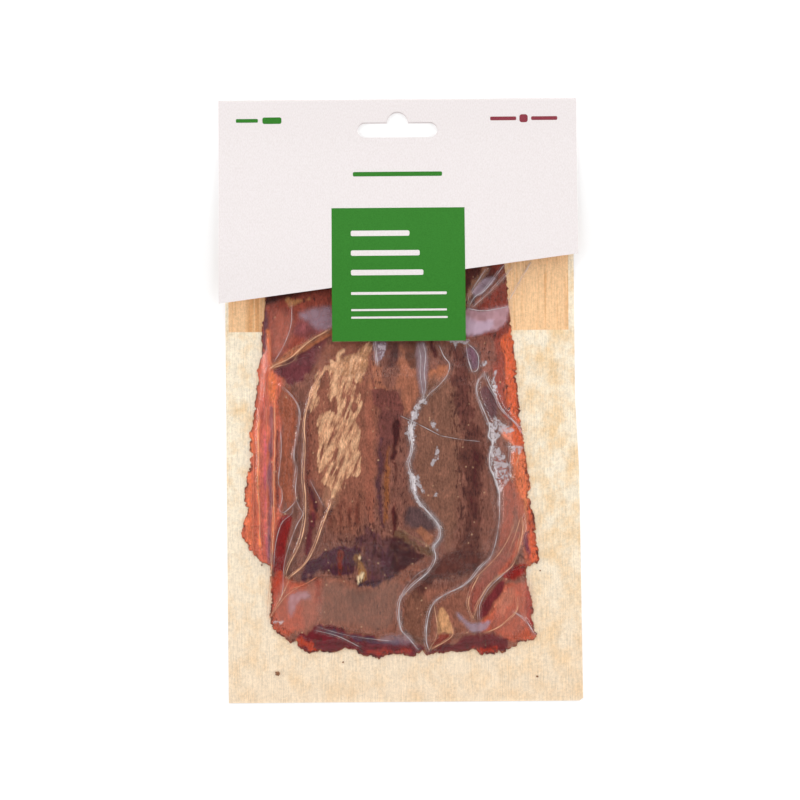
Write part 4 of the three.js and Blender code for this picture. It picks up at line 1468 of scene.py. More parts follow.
@dataclass
class MeatStack:
    """The stack of thin slices, each a closed torn sheet that drapes over the slices under it."""

    sheet: BackingSheet
    grid: PlanGrid = PlanGrid()
    base: str = "#83564A"
    # The shade beside a crease of the film: how dark, how broad, how far it reaches, and where it falls
    crease_shade: float = 0.28
    crease_width: float = 0.5
    crease_reach: float = 1.6
    crease_side: tuple[float, float] = (0.9, -0.2)
    blotch: float = 0.08
    darkest: float = 0.008
    rim_thickness: float = 0.45
    rim_width: float = 1.6
    drape: float = 1.5
    gap: float = 0.02
    # Soft lumps: height, size, how far from a rim they are full, and where they fade out towards the card
    lump: float = 0.1
    lump_size: tuple[float, float] = (13.0, 34.0)
    lump_rim: float = 6.0
    lump_fade: tuple[float, float] = (45.0, 20.0)
    crust_width: float = 2.0
    # The tones are named as seen through the film, which adds some glare and takes some light
    glare: float = 0.012
    passed: float = 0.97
    # How thick the slices are towards the card: y, share
    taper: Points = ((10, 1.0), (24, 0.87), (40, 0.7), (52, 0.56), (62, 0.42))
    # How close the points are where a slice shows and where it is hidden, and how far inside the rim
    fine: float = 0.48
    coarse: float = 2.6
    inset: float = 0.35
    # Loose bits beside the meat, under the film: x, y, width
    crumbs: Sequence[tuple[float, float, float]] = (
        (-50.1, -108.7, 1.9), (-23.9, -104.4, 0.7), (53.7, -110.7, 0.8), (55.2, -68.4, 0.6),
        (-56.1, -65.3, 0.7),
    )
    relief: Array | None = None

    def tones(self) -> Array:
        """Mix the meat's broad tones over the plan.

        Returns:
            A linear colour for each grid point.
        """
        x, y = self.grid.mesh()
        colour = np.empty((*x.shape, 3))
        colour[:] = linear(self.base)[:3]
        for tone in TONES:
            cover = tone.mask(self.grid)[..., None]
            colour += cover * (np.array(linear(tone.colour)[:3]) - colour)
        light = 1.0 + self.blotch * ValueNoise(16, 2.4, 6.0).at(x, y)
        # Painted shade beside each crease of the film
        for fold in FOLDS:
            beside = curve_through(fold.path, fold.spacing) + self.crease_side
            far = self.grid.distance(beside, self.crease_reach)
            dark = self.crease_shade * min(1.0, 2 * fold.line)
            light *= 1.0 - dark * np.exp(-((far / self.crease_width) ** 2))
        return np.maximum(colour * light[..., None] - self.glare, self.darkest) / self.passed

    def fill(self, fields: list[StreakField]) -> Array:
        """Work out how far each grid point lies inside some fields of streaks.

        Args:
            fields: the fields, where later ones that leave streaks out cut into earlier ones.

        Returns:
            A depth for each grid point, negative outside, and small where few streaks are left.
        """
        empty = -1.5
        steepness = 0.7
        level = np.full((len(self.grid.ys), len(self.grid.xs)), empty)
        for patch in fields:
            depth = steepness * self.grid.depth(curve_through(patch.points, FIELD_SPACING, closed=True))
            if patch.fill > 0:
                level = np.maximum(level, np.clip(depth, empty, patch.fill))
            else:
                level = np.minimum(level, -np.clip(depth, empty, -patch.fill))
        return level

    def build(self, finishes: Finishes) -> list[bpy.types.Object]:
        """Lay the slices on each other.

        Args:
            finishes: the pack's materials.

        Returns:
            The slices as pieces, from the bottom up.
        """
        grid = self.grid
        x, y = grid.mesh()
        height = self.sheet.top(y)
        outlines = [layer.outline() for layer in SLICES]
        known = [{"depth": grid.depth(outline)} for outline in outlines]
        for layer, values in zip(SLICES, known):
            depth = values["depth"]
            lumps = self.lump * ValueNoise(layer.seed + 5, *self.lump_size).at(x, y)
            lumps *= ease(0.0, self.lump_rim, depth) * ease(*self.lump_fade, y)
            bed = np.maximum(height, grid.blur(height, self.drape)) + self.gap + np.maximum(lumps, 0.0)
            full = layer.thickness - self.rim_thickness
            thick = self.rim_thickness + full * ease(0.0, self.rim_width, depth)
            thick *= np.interp(y, *zip(*self.taper))
            values.update(low=bed, high=bed + thick)
            height = np.where(depth > 0, bed + thick, height)
        self.relief = height
        cover = np.full_like(height, -1.0)
        for values in reversed(known):
            values["cover"] = cover
            cover = np.maximum(cover, values["depth"])
        looks = {"tone": self.tones(), "dry": self.fill(DRY_FIELDS), "pit": self.fill(PIT_FIELDS)}
        return [
            self.lay(layer, outline, {**values, **looks}, finishes)
            for layer, outline, values in zip(SLICES, outlines, known)
        ]

    def lay(
        self, layer: Slice, outline: Array, known: dict[str, Array], finishes: Finishes
    ) -> bpy.types.Object:
        """Make one slice.

        Args:
            layer: the slice.
            outline: its torn rim.
            known: what is known of each grid point: how deep it lies in the slice and in those that cover it,
                the slice's low and high side there, the meat's tone, and how dry and how pitted it is.
            finishes: the pack's materials.

        Returns:
            The slice as a piece.
        """
        grid = self.grid
        low, high = outline.min(axis=0), outline.max(axis=0)
        groups = []
        for spacing, hidden in ((self.fine, False), (self.coarse, True)):
            inner = crossed(*(np.arange(low[k], high[k], spacing) + spacing / 3 for k in (0, 1)))
            chosen = (grid.sample(known["cover"], *inner.T) > self.coarse) == hidden
            chosen &= grid.sample(known["depth"], *inner.T) > self.inset
            groups.append(inner[chosen])
        places, triangles = triangulate([outline], np.concatenate(groups))
        here = {name: grid.sample(values, *places.T) for name, values in known.items()}
        here["rim"] = here["depth"] + self.crust_width * (1.0 - layer.crust)
        upper, lower = (np.column_stack([places, here[side]]) for side in ("high", "low"))
        shell = Shell.between(upper, lower, triangles)
        piece = new_piece(
            layer.name,
            shell.vertices,
            shell.faces,
            [finishes.beef],
            colours={"tone": np.tile(here["tone"], (2, 1))},
            numbers={name: np.tile(here[name], 2) for name in ("dry", "pit", "rim")},
            sharp=60.0,
        )
        return settle(piece, "film_and_slices")


class Tint(Enum):
    """The colour of the milk and painted highlights of a fold, and of the painted sheen of a patch."""

    WHITE = "#D2C9CC"
    LILAC = "#B59AAA"
    SKY = "#B2AECB"
    PINK = "#D2A2AC"
    ROSE = "#D08470"
    BROWN = "#9C7262"
    GREY = "#D0BCBC"
    PEACH = "#F0B488"
    ORANGE = "#EC8458"

    @property
    def light(self) -> Array:
        """The colour's linear red, green and blue."""
        return np.array(linear(self.value)[:3])


@dataclass(frozen=True)
class Fold:
    """A fold in the film, in mm.

    Its values are how high it stands, how broad the line of its crest is, the colour of its milk and painted
    highlight, how milky the film is beside it with a painted sheen, the path of its crest, and how far the
    milk and sheen spread.
    """

    height: float
    line: float
    tint: Tint
    sheen_veil: float
    path: Points
    spread: float = 0.7
    spacing: float = 0.6


@dataclass(frozen=True)
class SheenVeil:
    """A patch of film clear of the meat, milky with painted sheen: its colour, strength and soft edge."""

    tint: Tint
    strength: float
    soft: float
    points: Points


# The film's folds: real ridges, with painted highlights along their crests and painted sheen beside them
FOLDS = [
    # Upper left: folds that run into the pinched point on the margin
    Fold(0.7, 0.55, Tint.PEACH, 0.3, [(-52, 12.8), (-50.6, 14), (-44.2, 17.1), (-36.3, 23.7),
        (-27.6, 28.7)]),
    Fold(0.3, 0.3, Tint.PEACH, 0.15, [(-50.6, 13.5), (-42.8, 16), (-40, 20.5), (-33.6, 25.5)]),
    Fold(0.3, 0.3, Tint.GREY, 0.2, [(-50.2, 16), (-46.4, 22.4), (-43.6, 30.2), (-43.1, 38.5)]),
    Fold(0.3, 0.7, Tint.ORANGE, 0.3, [(-52.3, 26.6), (-52, 16.5), (-51.1, 14.7)]),
    # Left margin: edges of the slices through the film
    Fold(0.15, 0.35, Tint.PEACH, 0.1, [(-56.3, -4), (-56.9, -12), (-56.7, -23.4), (-57.3, -31.4),
        (-56.6, -44.8), (-56.7, -57.6)]),
    Fold(0.05, 0.42, Tint.ORANGE, 0.1, [(-58.8, -18), (-58.9, -34), (-59.3, -48), (-59.4, -62)]),
    Fold(0.05, 0.14, Tint.PEACH, 0.0, [(-57.4, 14), (-57.9, 4), (-59, -4), (-59.6, -10)]),
    Fold(0.05, 0.12, Tint.PEACH, 0.0, [(-53.5, 30), (-54, 16), (-53.4, -20), (-53.7, -44), (-53.6, -64)]),
    Fold(0.2, 0.4, Tint.PEACH, 0.12, [(-50.3, 0.9), (-50.2, -12.9), (-50.9, -39.5), (-50.7, -46),
        (-51.7, -61), (-53.2, -87)]),
    Fold(0.8, 0.45, Tint.GREY, 0.12, [(-47.5, 6.6), (-42, 0.8), (-40.1, -4.3), (-41, -13), (-42.6, -22.1),
        (-41.3, -27), (-42.1, -34.2), (-41.8, -39)]),
    Fold(0.35, 0.35, Tint.GREY, 0.2, [(-41.8, -39), (-43.2, -41), (-47, -44.1), (-48.6, -43.2), (-47.5, -39),
        (-47.7, -35), (-48.8, -33), (-47.7, -19.8), (-47.9, -10.6)]),
    Fold(0.4, 0.3, Tint.GREY, 0.15, [(-41.8, -39), (-40.5, -42.2), (-39.2, -44.4), (-41.7, -49.2),
        (-46.3, -62), (-47.4, -69), (-47.7, -75.4), (-48.9, -79.7)]),
    Fold(0.3, 0.3, Tint.GREY, 0.12, [(-43.2, -41.7), (-43.5, -44.3), (-47.5, -48.1), (-50, -55.5),
        (-51.2, -66.2)]),
    # Long gusset left of the pale muscle
    Fold(0.9, 0.7, Tint.PEACH, 0.12, [(-30.5, 12.7), (-34.2, 5.3), (-37.5, -3.8), (-38.4, -10.7),
        (-38, -17.6), (-38.7, -29.9), (-38.1, -38), (-38.4, -47.6), (-40.6, -56.7), (-45, -65.2),
        (-46.2, -69.5), (-45, -70.8)]),
    Fold(0.9, 0.8, Tint.PEACH, 0.15, [(-45.4, -70.6), (-38.6, -64.7), (-34.8, -58.3), (-31.5, -49.3),
        (-27.7, -39.7)]),
    Fold(0.2, 0.25, Tint.GREY, 0.2, [(-36.2, -31.6), (-30.9, -41.8)]),
    # Lower left corner
    Fold(0.3, 0.35, Tint.PEACH, 0.15, [(-45, -71.1), (-47.8, -77), (-53.2, -86.6)]),
    Fold(0.3, 0.3, Tint.ORANGE, 0.15, [(-45.1, -74.9), (-39.7, -73.3), (-33.8, -70.1)]),
    Fold(0.2, 0.25, Tint.PEACH, 0.1, [(-53.2, -86.6), (-46.2, -77.5), (-40.8, -73.8)]),
    Fold(0.25, 0.3, Tint.GREY, 0.25, [(-34.5, -91.5), (-25.9, -93.8), (-17.4, -98.1)]),
    Fold(0.15, 0.2, Tint.GREY, 0.2, [(-33.6, -90.2), (-24, -93), (-14, -94.8), (-4, -96)]),
    # Wavy crease down the middle
    Fold(0.3, 0.6, Tint.GREY, 0.45, [(-9.9, 23.5), (-9.1, 14.3)]),
    Fold(0.6, 0.28, Tint.WHITE, 0.2, [(7.1, 22.7), (8.1, 16.6), (7.8, 10.8), (9.1, 0.9)]),
    Fold(0.6, 0.28, Tint.WHITE, 0.2, [(8.9, 23.1), (10, 18.5), (9.4, 10.8), (9.9, 5.5), (9.3, 1.6)]),
    Fold(0.6, 0.36, Tint.WHITE, 0.25, [(15.4, 21.9), (17.4, 17.3), (19.5, 14.2), (18.5, 10), (15.1, 5.8),
        (11.6, 2.8), (9.8, 0.5)]),
    Fold(1.0, 0.75, Tint.WHITE, 0.5, [(9.1, 0.9), (7.5, -1.4), (4.4, -8.3), (3.6, -13.2), (4.5, -19.8),
        (2.9, -25.1), (4.3, -30.6), (4.5, -35.6), (7.7, -41), (14.9, -50.2), (15.1, -54.4), (12.7, -58.2)],
        1.2),
    Fold(1.0, 0.5, Tint.WHITE, 0.4, [(11.9, -45.9), (14.9, -50.2), (15.1, -54.4), (12.7, -58.2),
        (13.4, -62.5), (11.2, -67.3), (2.6, -75.2), (-0.9, -80), (-0.5, -91.3), (1.9, -94), (6.2, -99.4)],
        0.9),
    Fold(0.3, 0.25, Tint.GREY, 0.15, [(11.3, -66.2), (5.9, -69.4), (0.5, -75.8), (-1.7, -80.6)]),
    # Right crease, its loop at the top and the loops below it
    Fold(0.5, 0.39, Tint.WHITE, 0.3, [(26.3, 22.2), (26.6, 18), (28.1, 12.2), (28.5, 11.2), (30.4, 11.8),
        (31, 17.2), (29.3, 20.2), (26.7, 22.4)]),
    Fold(0.9, 0.5, Tint.WHITE, 0.4, [(33.5, 10.6), (30.8, 7.2), (30.3, 3), (35.2, -10.8), (34.8, -14.6),
        (36.3, -16.9), (35.1, -21.9), (35.1, -26), (37.2, -31.6), (38.8, -37), (38.7, -42)]),
    Fold(0.8, 0.32, Tint.WHITE, 0.3, [(38.8, -37), (38.7, -47.7), (36.8, -58.4), (34.8, -63.2),
        (31.1, -66.9)]),
    Fold(0.9, 0.46, Tint.WHITE, 0.4, [(34.8, -63.2), (31.1, -66.9), (27.8, -71.1), (24.6, -73.8),
        (17.1, -77.5), (12.7, -80.7), (10.6, -84.9), (9.4, -95.6), (10.5, -99.9)]),
    Fold(0.6, 0.5, Tint.WHITE, 0.35, [(33.5, 10.6), (35.7, 5.3), (38, 1), (40.2, -3.6), (47.1, -10.9),
        (48.6, -14)]),
    Fold(0.3, 0.4, Tint.GREY, 0.3, [(42.8, -18.1), (43.5, -22), (43.1, -27.7), (43.5, -31.5)]),
    Fold(0.2, 0.3, Tint.PEACH, 0.15, [(47, -22.4), (43.8, -32.2)]),
    Fold(0.5, 0.4, Tint.PEACH, 0.15, [(30.5, -70.1), (27.8, -75.4), (26.4, -80.8), (26.9, -84),
        (28.2, -87)]),
    Fold(0.6, 0.4, Tint.PEACH, 0.2, [(28.2, -87), (29.9, -81.9), (33.1, -76), (38, -70.7), (43.7, -66.5),
        (47.2, -57.4), (48.3, -49.9), (47.8, -46.7)]),
    Fold(0.4, 0.4, Tint.GREY, 0.2, [(30.6, -87.5), (30.9, -81.9), (34.2, -75.5), (43.7, -66.7)]),
    Fold(0.2, 0.25, Tint.PEACH, 0.12, [(45.1, -48.8), (41.9, -56.3), (37.5, -62.7), (27.8, -72.2)]),
    Fold(0.2, 0.25, Tint.PEACH, 0.12, [(47.3, -47.2), (45.1, -54.1), (41.8, -62.7)]),
    Fold(0.3, 0.35, Tint.PEACH, 0.2, [(10.5, -99.9), (13.7, -93), (12.7, -81.7)]),
    Fold(0.3, 0.4, Tint.PEACH, 0.2, [(11.5, -99.4), (19.6, -94.1), (20.2, -90.9)]),
    Fold(0.4, 0.45, Tint.PEACH, 0.15, [(33.5, -92.9), (39.5, -90), (45.7, -84.1), (46, -78.8)]),
    Fold(0.6, 0.5, Tint.GREY, 0.35, [(44.8, -84.7), (48.6, -87.4), (52.8, -93.8)]),
    # A straight scratch across the film
    Fold(0.1, 0.39, Tint.WHITE, 0.1, [(-0.3, -6.1), (4.6, -8.3), (15.7, -14.1)], 0.5),
    Fold(0.1, 0.25, Tint.GREY, 0.1, [(15.7, -14.1), (24.1, -15.7), (31.3, -16.5)], 0.5),
    Fold(0.1, 0.25, Tint.GREY, 0.1, [(41.6, -18.5), (48.9, -19.5)], 0.5),
    # Upper right, below the card's edge
    Fold(0.9, 0.4, Tint.GREY, 0.3, [(26.8, 38.4), (28, 42.4), (34.5, 52.3)]),
    Fold(0.5, 0.4, Tint.WHITE, 0.25, [(27.6, 37.2), (29.6, 40.8), (33.6, 43.5), (41.7, 53.9)]),
    Fold(0.8, 0.4, Tint.GREY, 0.3, [(28.8, 36.8), (40.1, 47.1), (45.3, 53.4)]),
    Fold(0.4, 0.4, Tint.WHITE, 0.2, [(27.2, 36.4), (33.2, 35.5), (43.2, 37.1)]),
    Fold(0.4, 0.45, Tint.WHITE, 0.25, [(43.2, 39.1), (52.5, 55)]),
]
# Patches of painted sheen, where the film stands clear of the meat and looks milky
SHEEN_VEILS = [
    SheenVeil(Tint.LILAC, 0.5, 1.4, [(-40, 35), (-27.5, 37), (-26, 30), (-33.5, 29), (-36.5, 32), (-40, 33.5)]),
    SheenVeil(Tint.PINK, 0.6, 0.9, [(26, 36), (32, 35.5), (38, 36.5), (43, 37), (42, 30.5), (38.5, 28), (32, 26.5),
        (26, 26)]),
    SheenVeil(Tint.SKY, 0.4, 1.0, [(26, 33), (31, 31), (37, 31.5), (36.5, 28.5), (26, 26.5)]),
    SheenVeil(Tint.LILAC, 0.5, 0.4, [(29, 42.5), (31.5, 46.5), (35.5, 49), (38, 48.5), (31, 41.5)]),
    SheenVeil(Tint.LILAC, 0.35, 0.6, [(-10.5, 23), (-5.5, 23), (-7, 18), (-9.5, 15.5)]),
    SheenVeil(Tint.LILAC, 0.25, 0.5, [(7, 23), (9.5, 23), (9.5, 3), (8, 3)]),
    SheenVeil(Tint.LILAC, 0.4, 1.2, [(-45.5, -78.5), (-43.5, -77), (-37.5, -76.5), (-37, -78.5), (-41, -79.5),
        (-44.5, -86)]),
    SheenVeil(Tint.LILAC, 0.55, 0.6, [(21.5, -84.5), (27.5, -89), (31, -89), (35, -88), (34, -91), (30, -92.5),
        (26.5, -91.5)]),
    SheenVeil(Tint.LILAC, 0.25, 1.0, [(-10, -95.5), (-3.5, -93.5), (3, -94.5), (3, -97)]),
    SheenVeil(Tint.BROWN, 0.34, 2.0, [(-30, -73), (-16, -76), (-2, -72), (-6, -90), (-20, -89), (-32, -87)]),
    SheenVeil(Tint.ROSE, 0.32, 2.0, [(-48, -73), (-39, -75), (-34, -73), (-34, -88), (-42, -91), (-50, -88)]),
    SheenVeil(Tint.ROSE, 0.25, 2.0, [(44, -74), (50, -73), (51, -88), (44, -94), (36, -91)]),
    SheenVeil(Tint.ROSE, 0.22, 2.0, [(40, -34), (45, -36), (50, -46), (49, -57), (30, -74), (29, -71),
        (38, -58)]),
    SheenVeil(Tint.ROSE, 0.22, 2.0, [(-50, 36), (-44, 34), (-43, 27), (-48, 19), (-51, 20)]),
]
# Where the film stands clear of the meat: lacy patches of painted silver sheen
LACES = [
    [(4, -7.4), (4.5, -3.4), (8.1, 0.5), (10.5, 0.5), (10.9, -1.5), (8.5, -1.9), (6.4, -7.5)],
    [(2.4, -8.2), (6.4, -8.3), (5.6, -11.8), (6, -14.2), (5.2, -16.2), (3.9, -23.8), (2.7, -25), (3.1, -20.6),
     (3.6, -16.2), (2, -14.6), (1.6, -13), (3.2, -11.4)],
    [(2.7, -25), (3.9, -28.6), (7.5, -30.3), (8.2, -33.9), (9.8, -35.9), (9, -37.5), (7, -35.1), (6.2, -36.2),
     (7, -39.5), (9, -42.7), (7.4, -42.7), (5, -38.6), (3.1, -30.2)],
    [(12, -7.9), (13.6, -7.1), (14, -10.7), (15.6, -12.7), (12, -11.1)],
    [(11.5, -26.7), (12.3, -23.1), (13.5, -21.5), (13.6, -18.7), (14.8, -18.7), (15.5, -21.1), (14.7, -23.5)],
    [(12.6, -38.3), (13.4, -36.3), (14.6, -37.1), (13.8, -38.7)],
    [(17.5, 23.7), (27.9, 24), (26.3, 22), (22.7, 22), (21.9, 20), (21.1, 22)],
    [(33.2, -7.7), (35.6, -8.9), (36.9, -6.1), (40.8, -9.3), (46, -12.2), (42.8, -13.7), (39.6, -14.5),
     (37.2, -17.7), (35.6, -16.5), (34, -9.7)],
    [(31.4, 13.6), (33.8, 15.9), (34.6, 14.7), (32.6, 12.7)],
    [(36.2, 7.9), (37.4, 11.5), (38.6, 12.3), (38.2, 9.5), (36.6, 7.1)],
    [(36.6, 7.9), (38.6, 6.3), (38.1, 0.7), (35.7, 5.5)],
    [(35.5, -18), (39, -18.6), (41.6, -22), (43.8, -30.8), (41.8, -33.5), (38.7, -37.5), (36.5, -29.7),
     (35, -24)],
    [(43.6, -18.5), (48.9, -18.6), (46.6, -22.4), (43.9, -20.4)],
    [(-8.6, 22.8), (-5.6, 23), (-7.6, 16), (-8.4, 18.6)],
    [(-52.4, -88.3), (-48.6, -87.2), (-47, -88), (-49.4, -89.4)],
]


@dataclass
class SealedFilm:
    """The clear film: one sheet drawn tight over the slices and sealed to the backing, in mm."""

    sheet: BackingSheet
    stack: MeatStack
    clearance: float = 0.06
    stretch_steps: int = 70
    smoothing: float = 0.45
    fine: float = 0.5
    # A fold is a narrow crest on a broad skirt, and the share is the crest's part of its height
    crest: float = 0.9
    skirt: float = 2.6
    crest_share: float = 0.65
    # Fine wrinkles where the film is drawn taut
    wrinkle: float = 0.12
    wrinkle_power: int = 8
    # How milky the film is beside its folds, with painted sheen, and the most milk and sheen at a point
    milk_and_sheen: float = 0.45
    most_milk_and_sheen: float = 0.9
    lace_depth: float = 1.9
    patch_reach: float = 4.0
    fine_x: tuple[float, float] = (-66.0, 57.0)
    fine_y: tuple[float, float] = (-112.0, 58.0)
    low_y: float = -119.8
    high_y: float = 93.0
    side_gap: float = 0.3
    skin: Array | None = None
    rise: Array | None = None

    def tighten(self) -> None:
        """Pull the film over the slices and the crumbs."""
        grid = self.stack.grid
        x, y = grid.mesh()
        floor = self.stack.relief.copy()
        for cx, cy, width in self.stack.crumbs:
            floor += 0.6 * width * ease(width, 0.0, np.hypot(x - cx, y - cy))
        pulled = grid.blur(grid.stretch(floor, self.stretch_steps), self.smoothing)
        self.skin = np.maximum(pulled, floor) + self.clearance

    def crests(self) -> tuple[Array, Array, Array, Array]:
        """Work out the folds and the milky patches over the plan.

        Returns:
            The height that the folds add, how milky the film is with its painted highlights and sheen, the
            linear colour of both, and how far each point lies in a lacy patch of painted silver sheen.
        """
        grid = self.stack.grid
        x, y = grid.mesh()
        rise = np.zeros_like(x)
        least = 1e-4
        haze_and_sheen = np.full_like(x, least)
        sheen_veil = np.full((*x.shape, 3), least) * Tint.LILAC.light
        mottle = 0.45 + 0.75 * ease(-0.4, 0.6, layered(x, y, (0.7, 201, 1.3, 1.8), (0.5, 202, 0.8, 0.9)))
        # Each fold raises a crest, and beside it the film is milky with a painted sheen
        for fold in FOLDS:
            far = grid.distance(curve_through(fold.path, fold.spacing), self.skirt)
            shape = self.crest_share * np.exp(-((far / self.crest) ** 2))
            shape += (1 - self.crest_share) * (1 - far / self.skirt) ** 2
            rise = np.maximum(rise, fold.height * shape)
            cover = self.milk_and_sheen * fold.sheen_veil * np.exp(-((far / fold.spread) ** 2)) * mottle
            haze_and_sheen += cover
            sheen_veil += cover[..., None] * fold.tint.light
        # Patches of milky film with a painted sheen
        for patch in SHEEN_VEILS:
            depth = grid.depth(curve_through(patch.points, FIELD_SPACING, closed=True), self.patch_reach)
            holes = 1.0 + 0.3 * (mottle - 1.0)
            cover = patch.strength * ease(-patch.soft, patch.soft, depth + 1.5 * (holes - 0.9)) * holes
            haze_and_sheen += cover
            sheen_veil += cover[..., None] * patch.tint.light
        # Lacy patches of painted silver sheen, where the film stands clear of the meat
        lace = np.zeros_like(x)
        for points in LACES:
            depth = grid.depth(curve_through(points, FIELD_SPACING, closed=True), self.patch_reach)
            lace = np.maximum(lace, np.clip(1.5 + 0.8 * depth, 0.0, self.lace_depth))
        taut = self.wrinkle * (1 - np.abs(ValueNoise(203, 3.2, 22.0, 0.1).at(x, y))) ** self.wrinkle_power
        taut += 0.5 * self.wrinkle * (1 - np.abs(ValueNoise(204, 5.0, 5.0).at(x, y))) ** self.wrinkle_power
        rise += taut * ease(0.8, 2.5, self.skin - self.stack.sheet.top(y))
        return rise, np.clip(haze_and_sheen, 0.0, self.most_milk_and_sheen), sheen_veil / haze_and_sheen[..., None], lace

    def ticks(self, low: float, close: tuple[float, float], high: float, before: int, after: int) -> Array:
        """Place the film's rows or columns, close together over the meat and wider apart beside it.

        Args:
            low: the first place.
            close: where the close ones start and end.
            high: the last place.
            before: how many there are up to the close ones.
            after: how many there are from the close ones on.

        Returns:
            The places.
        """
        start = np.linspace(low, close[0], before)[:-1]
        end = np.linspace(close[1], high, after)
        return np.concatenate([start, np.arange(*close, self.fine), end])

    def build(self, finishes: Finishes) -> bpy.types.Object:
        """Make the film.

        Args:
            finishes: the pack's materials.

        Returns:
            The film as a piece.
        """
        self.tighten()
        self.rise, milk_and_sheen, tint, torn = self.crests()
        grid = self.stack.grid
        left = self.sheet.left_edge[0][0] + self.side_gap
        right = self.sheet.right_edge[-1][0] - self.side_gap
        x, y = np.meshgrid(
            self.ticks(left, self.fine_x, right, 3, 8),
            self.ticks(self.low_y, self.fine_y, self.high_y, 9, 20),
        )
        reach = (self.sheet.right_at(y) - self.side_gap - self.fine_x[1]) / (right - self.fine_x[1])
        x = np.where(x > self.fine_x[1], self.fine_x[1] + (x - self.fine_x[1]) * reach, x)
        inside = (x > grid.left) & (x < grid.right) & (y > grid.low) & (y < grid.high)
        z = self.sheet.top(y) + self.clearance
        z = np.where(inside, grid.sample(self.skin + self.rise, x, y), z)
        for border in np.s_[0, :], np.s_[-1, :], np.s_[:, 0], np.s_[:, -1]:
            z[border] = self.sheet.top(y[border])
        rows, columns = x.shape
        corner = (np.arange(rows - 1)[:, None] * columns + np.arange(columns - 1)[None, :]).ravel()
        faces = np.stack([corner, corner + 1, corner + columns + 1, corner + columns], axis=1).tolist()
        haze_and_sheen, lace = (np.where(inside, grid.sample(values, x, y), 0.0).ravel() for values in (milk_and_sheen, torn))
        sheen_veil = grid.sample(tint, x, y).reshape(-1, 3)
        piece = new_piece(
            "pouch_film",
            np.column_stack([x.ravel(), y.ravel(), z.ravel()]),
            faces,
            [finishes.film],
            colours={"sheen_veil": sheen_veil},
            numbers={"haze_and_sheen": haze_and_sheen, "lace": lace},
        )
        return settle(piece, "film_and_slices")


def new_tree(name: str, size: str) -> tuple[bpy.types.NodeTree, bpy.types.Node]:
    """Begin a geometry node tree.

    Args:
        name: the tree's name.
        size: the name of its one number.

    Returns:
        The tree and the node with its inputs.
    """
    tree = bpy.data.node_groups.new(name, "GeometryNodeTree")
    tree.interface.new_socket("Geometry", in_out="INPUT", socket_type="NodeSocketGeometry")
    tree.interface.new_socket(size, in_out="INPUT", socket_type="NodeSocketFloat")
    tree.interface.new_socket("Geometry", in_out="OUTPUT", socket_type="NodeSocketGeometry")
    return tree, add_node(tree, "NodeGroupInput")


def end_tree(tree: bpy.types.NodeTree, shape: bpy.types.Node, material: bpy.types.Material) -> None:
    """Make a tree's shape real, dress it and put it out.

    Args:
        tree: the node tree.
        shape: the node that gives the shape.
        material: what the shape is made of.
    """
    whole = add_node(tree, "GeometryNodeRealizeInstances", {"Geometry": shape.outputs[0]})
    dressed = add_node(tree, "GeometryNodeSetMaterial", {"Geometry": whole.outputs[0], "Material": material})
    add_node(tree, "NodeGroupOutput", {"Geometry": dressed.outputs[0]})


def mesh_from_nodes(
    source: bpy.types.Object, tree: bpy.types.NodeTree, inputs: dict[str, float], name: str
) -> bpy.types.Object:
    """Run a geometry node tree on an object and keep the result as a plain mesh.

    Args:
        source: the object that carries the points or paths.
        tree: the node tree.
        inputs: values for the tree's named inputs.
        name: the finished piece's name.

    Returns:
        A new object with the result.
    """
    modifier = source.modifiers.new("nodes", "NODES")
    modifier.node_group = tree
    for item in tree.interface.items_tree:
        if item.item_type == "SOCKET" and item.in_out == "INPUT" and item.name in inputs:
            modifier[item.identifier] = inputs[item.name]
    bpy.context.view_layer.update()
    evaluated = source.evaluated_get(bpy.context.evaluated_depsgraph_get())
    mesh = bpy.data.meshes.new_from_object(evaluated)
    source.modifiers.remove(modifier)
    bpy.data.objects.remove(source)
    mesh.name = name
    piece = bpy.data.objects.new(name, mesh)
    bpy.context.scene.collection.objects.link(piece)
    return piece


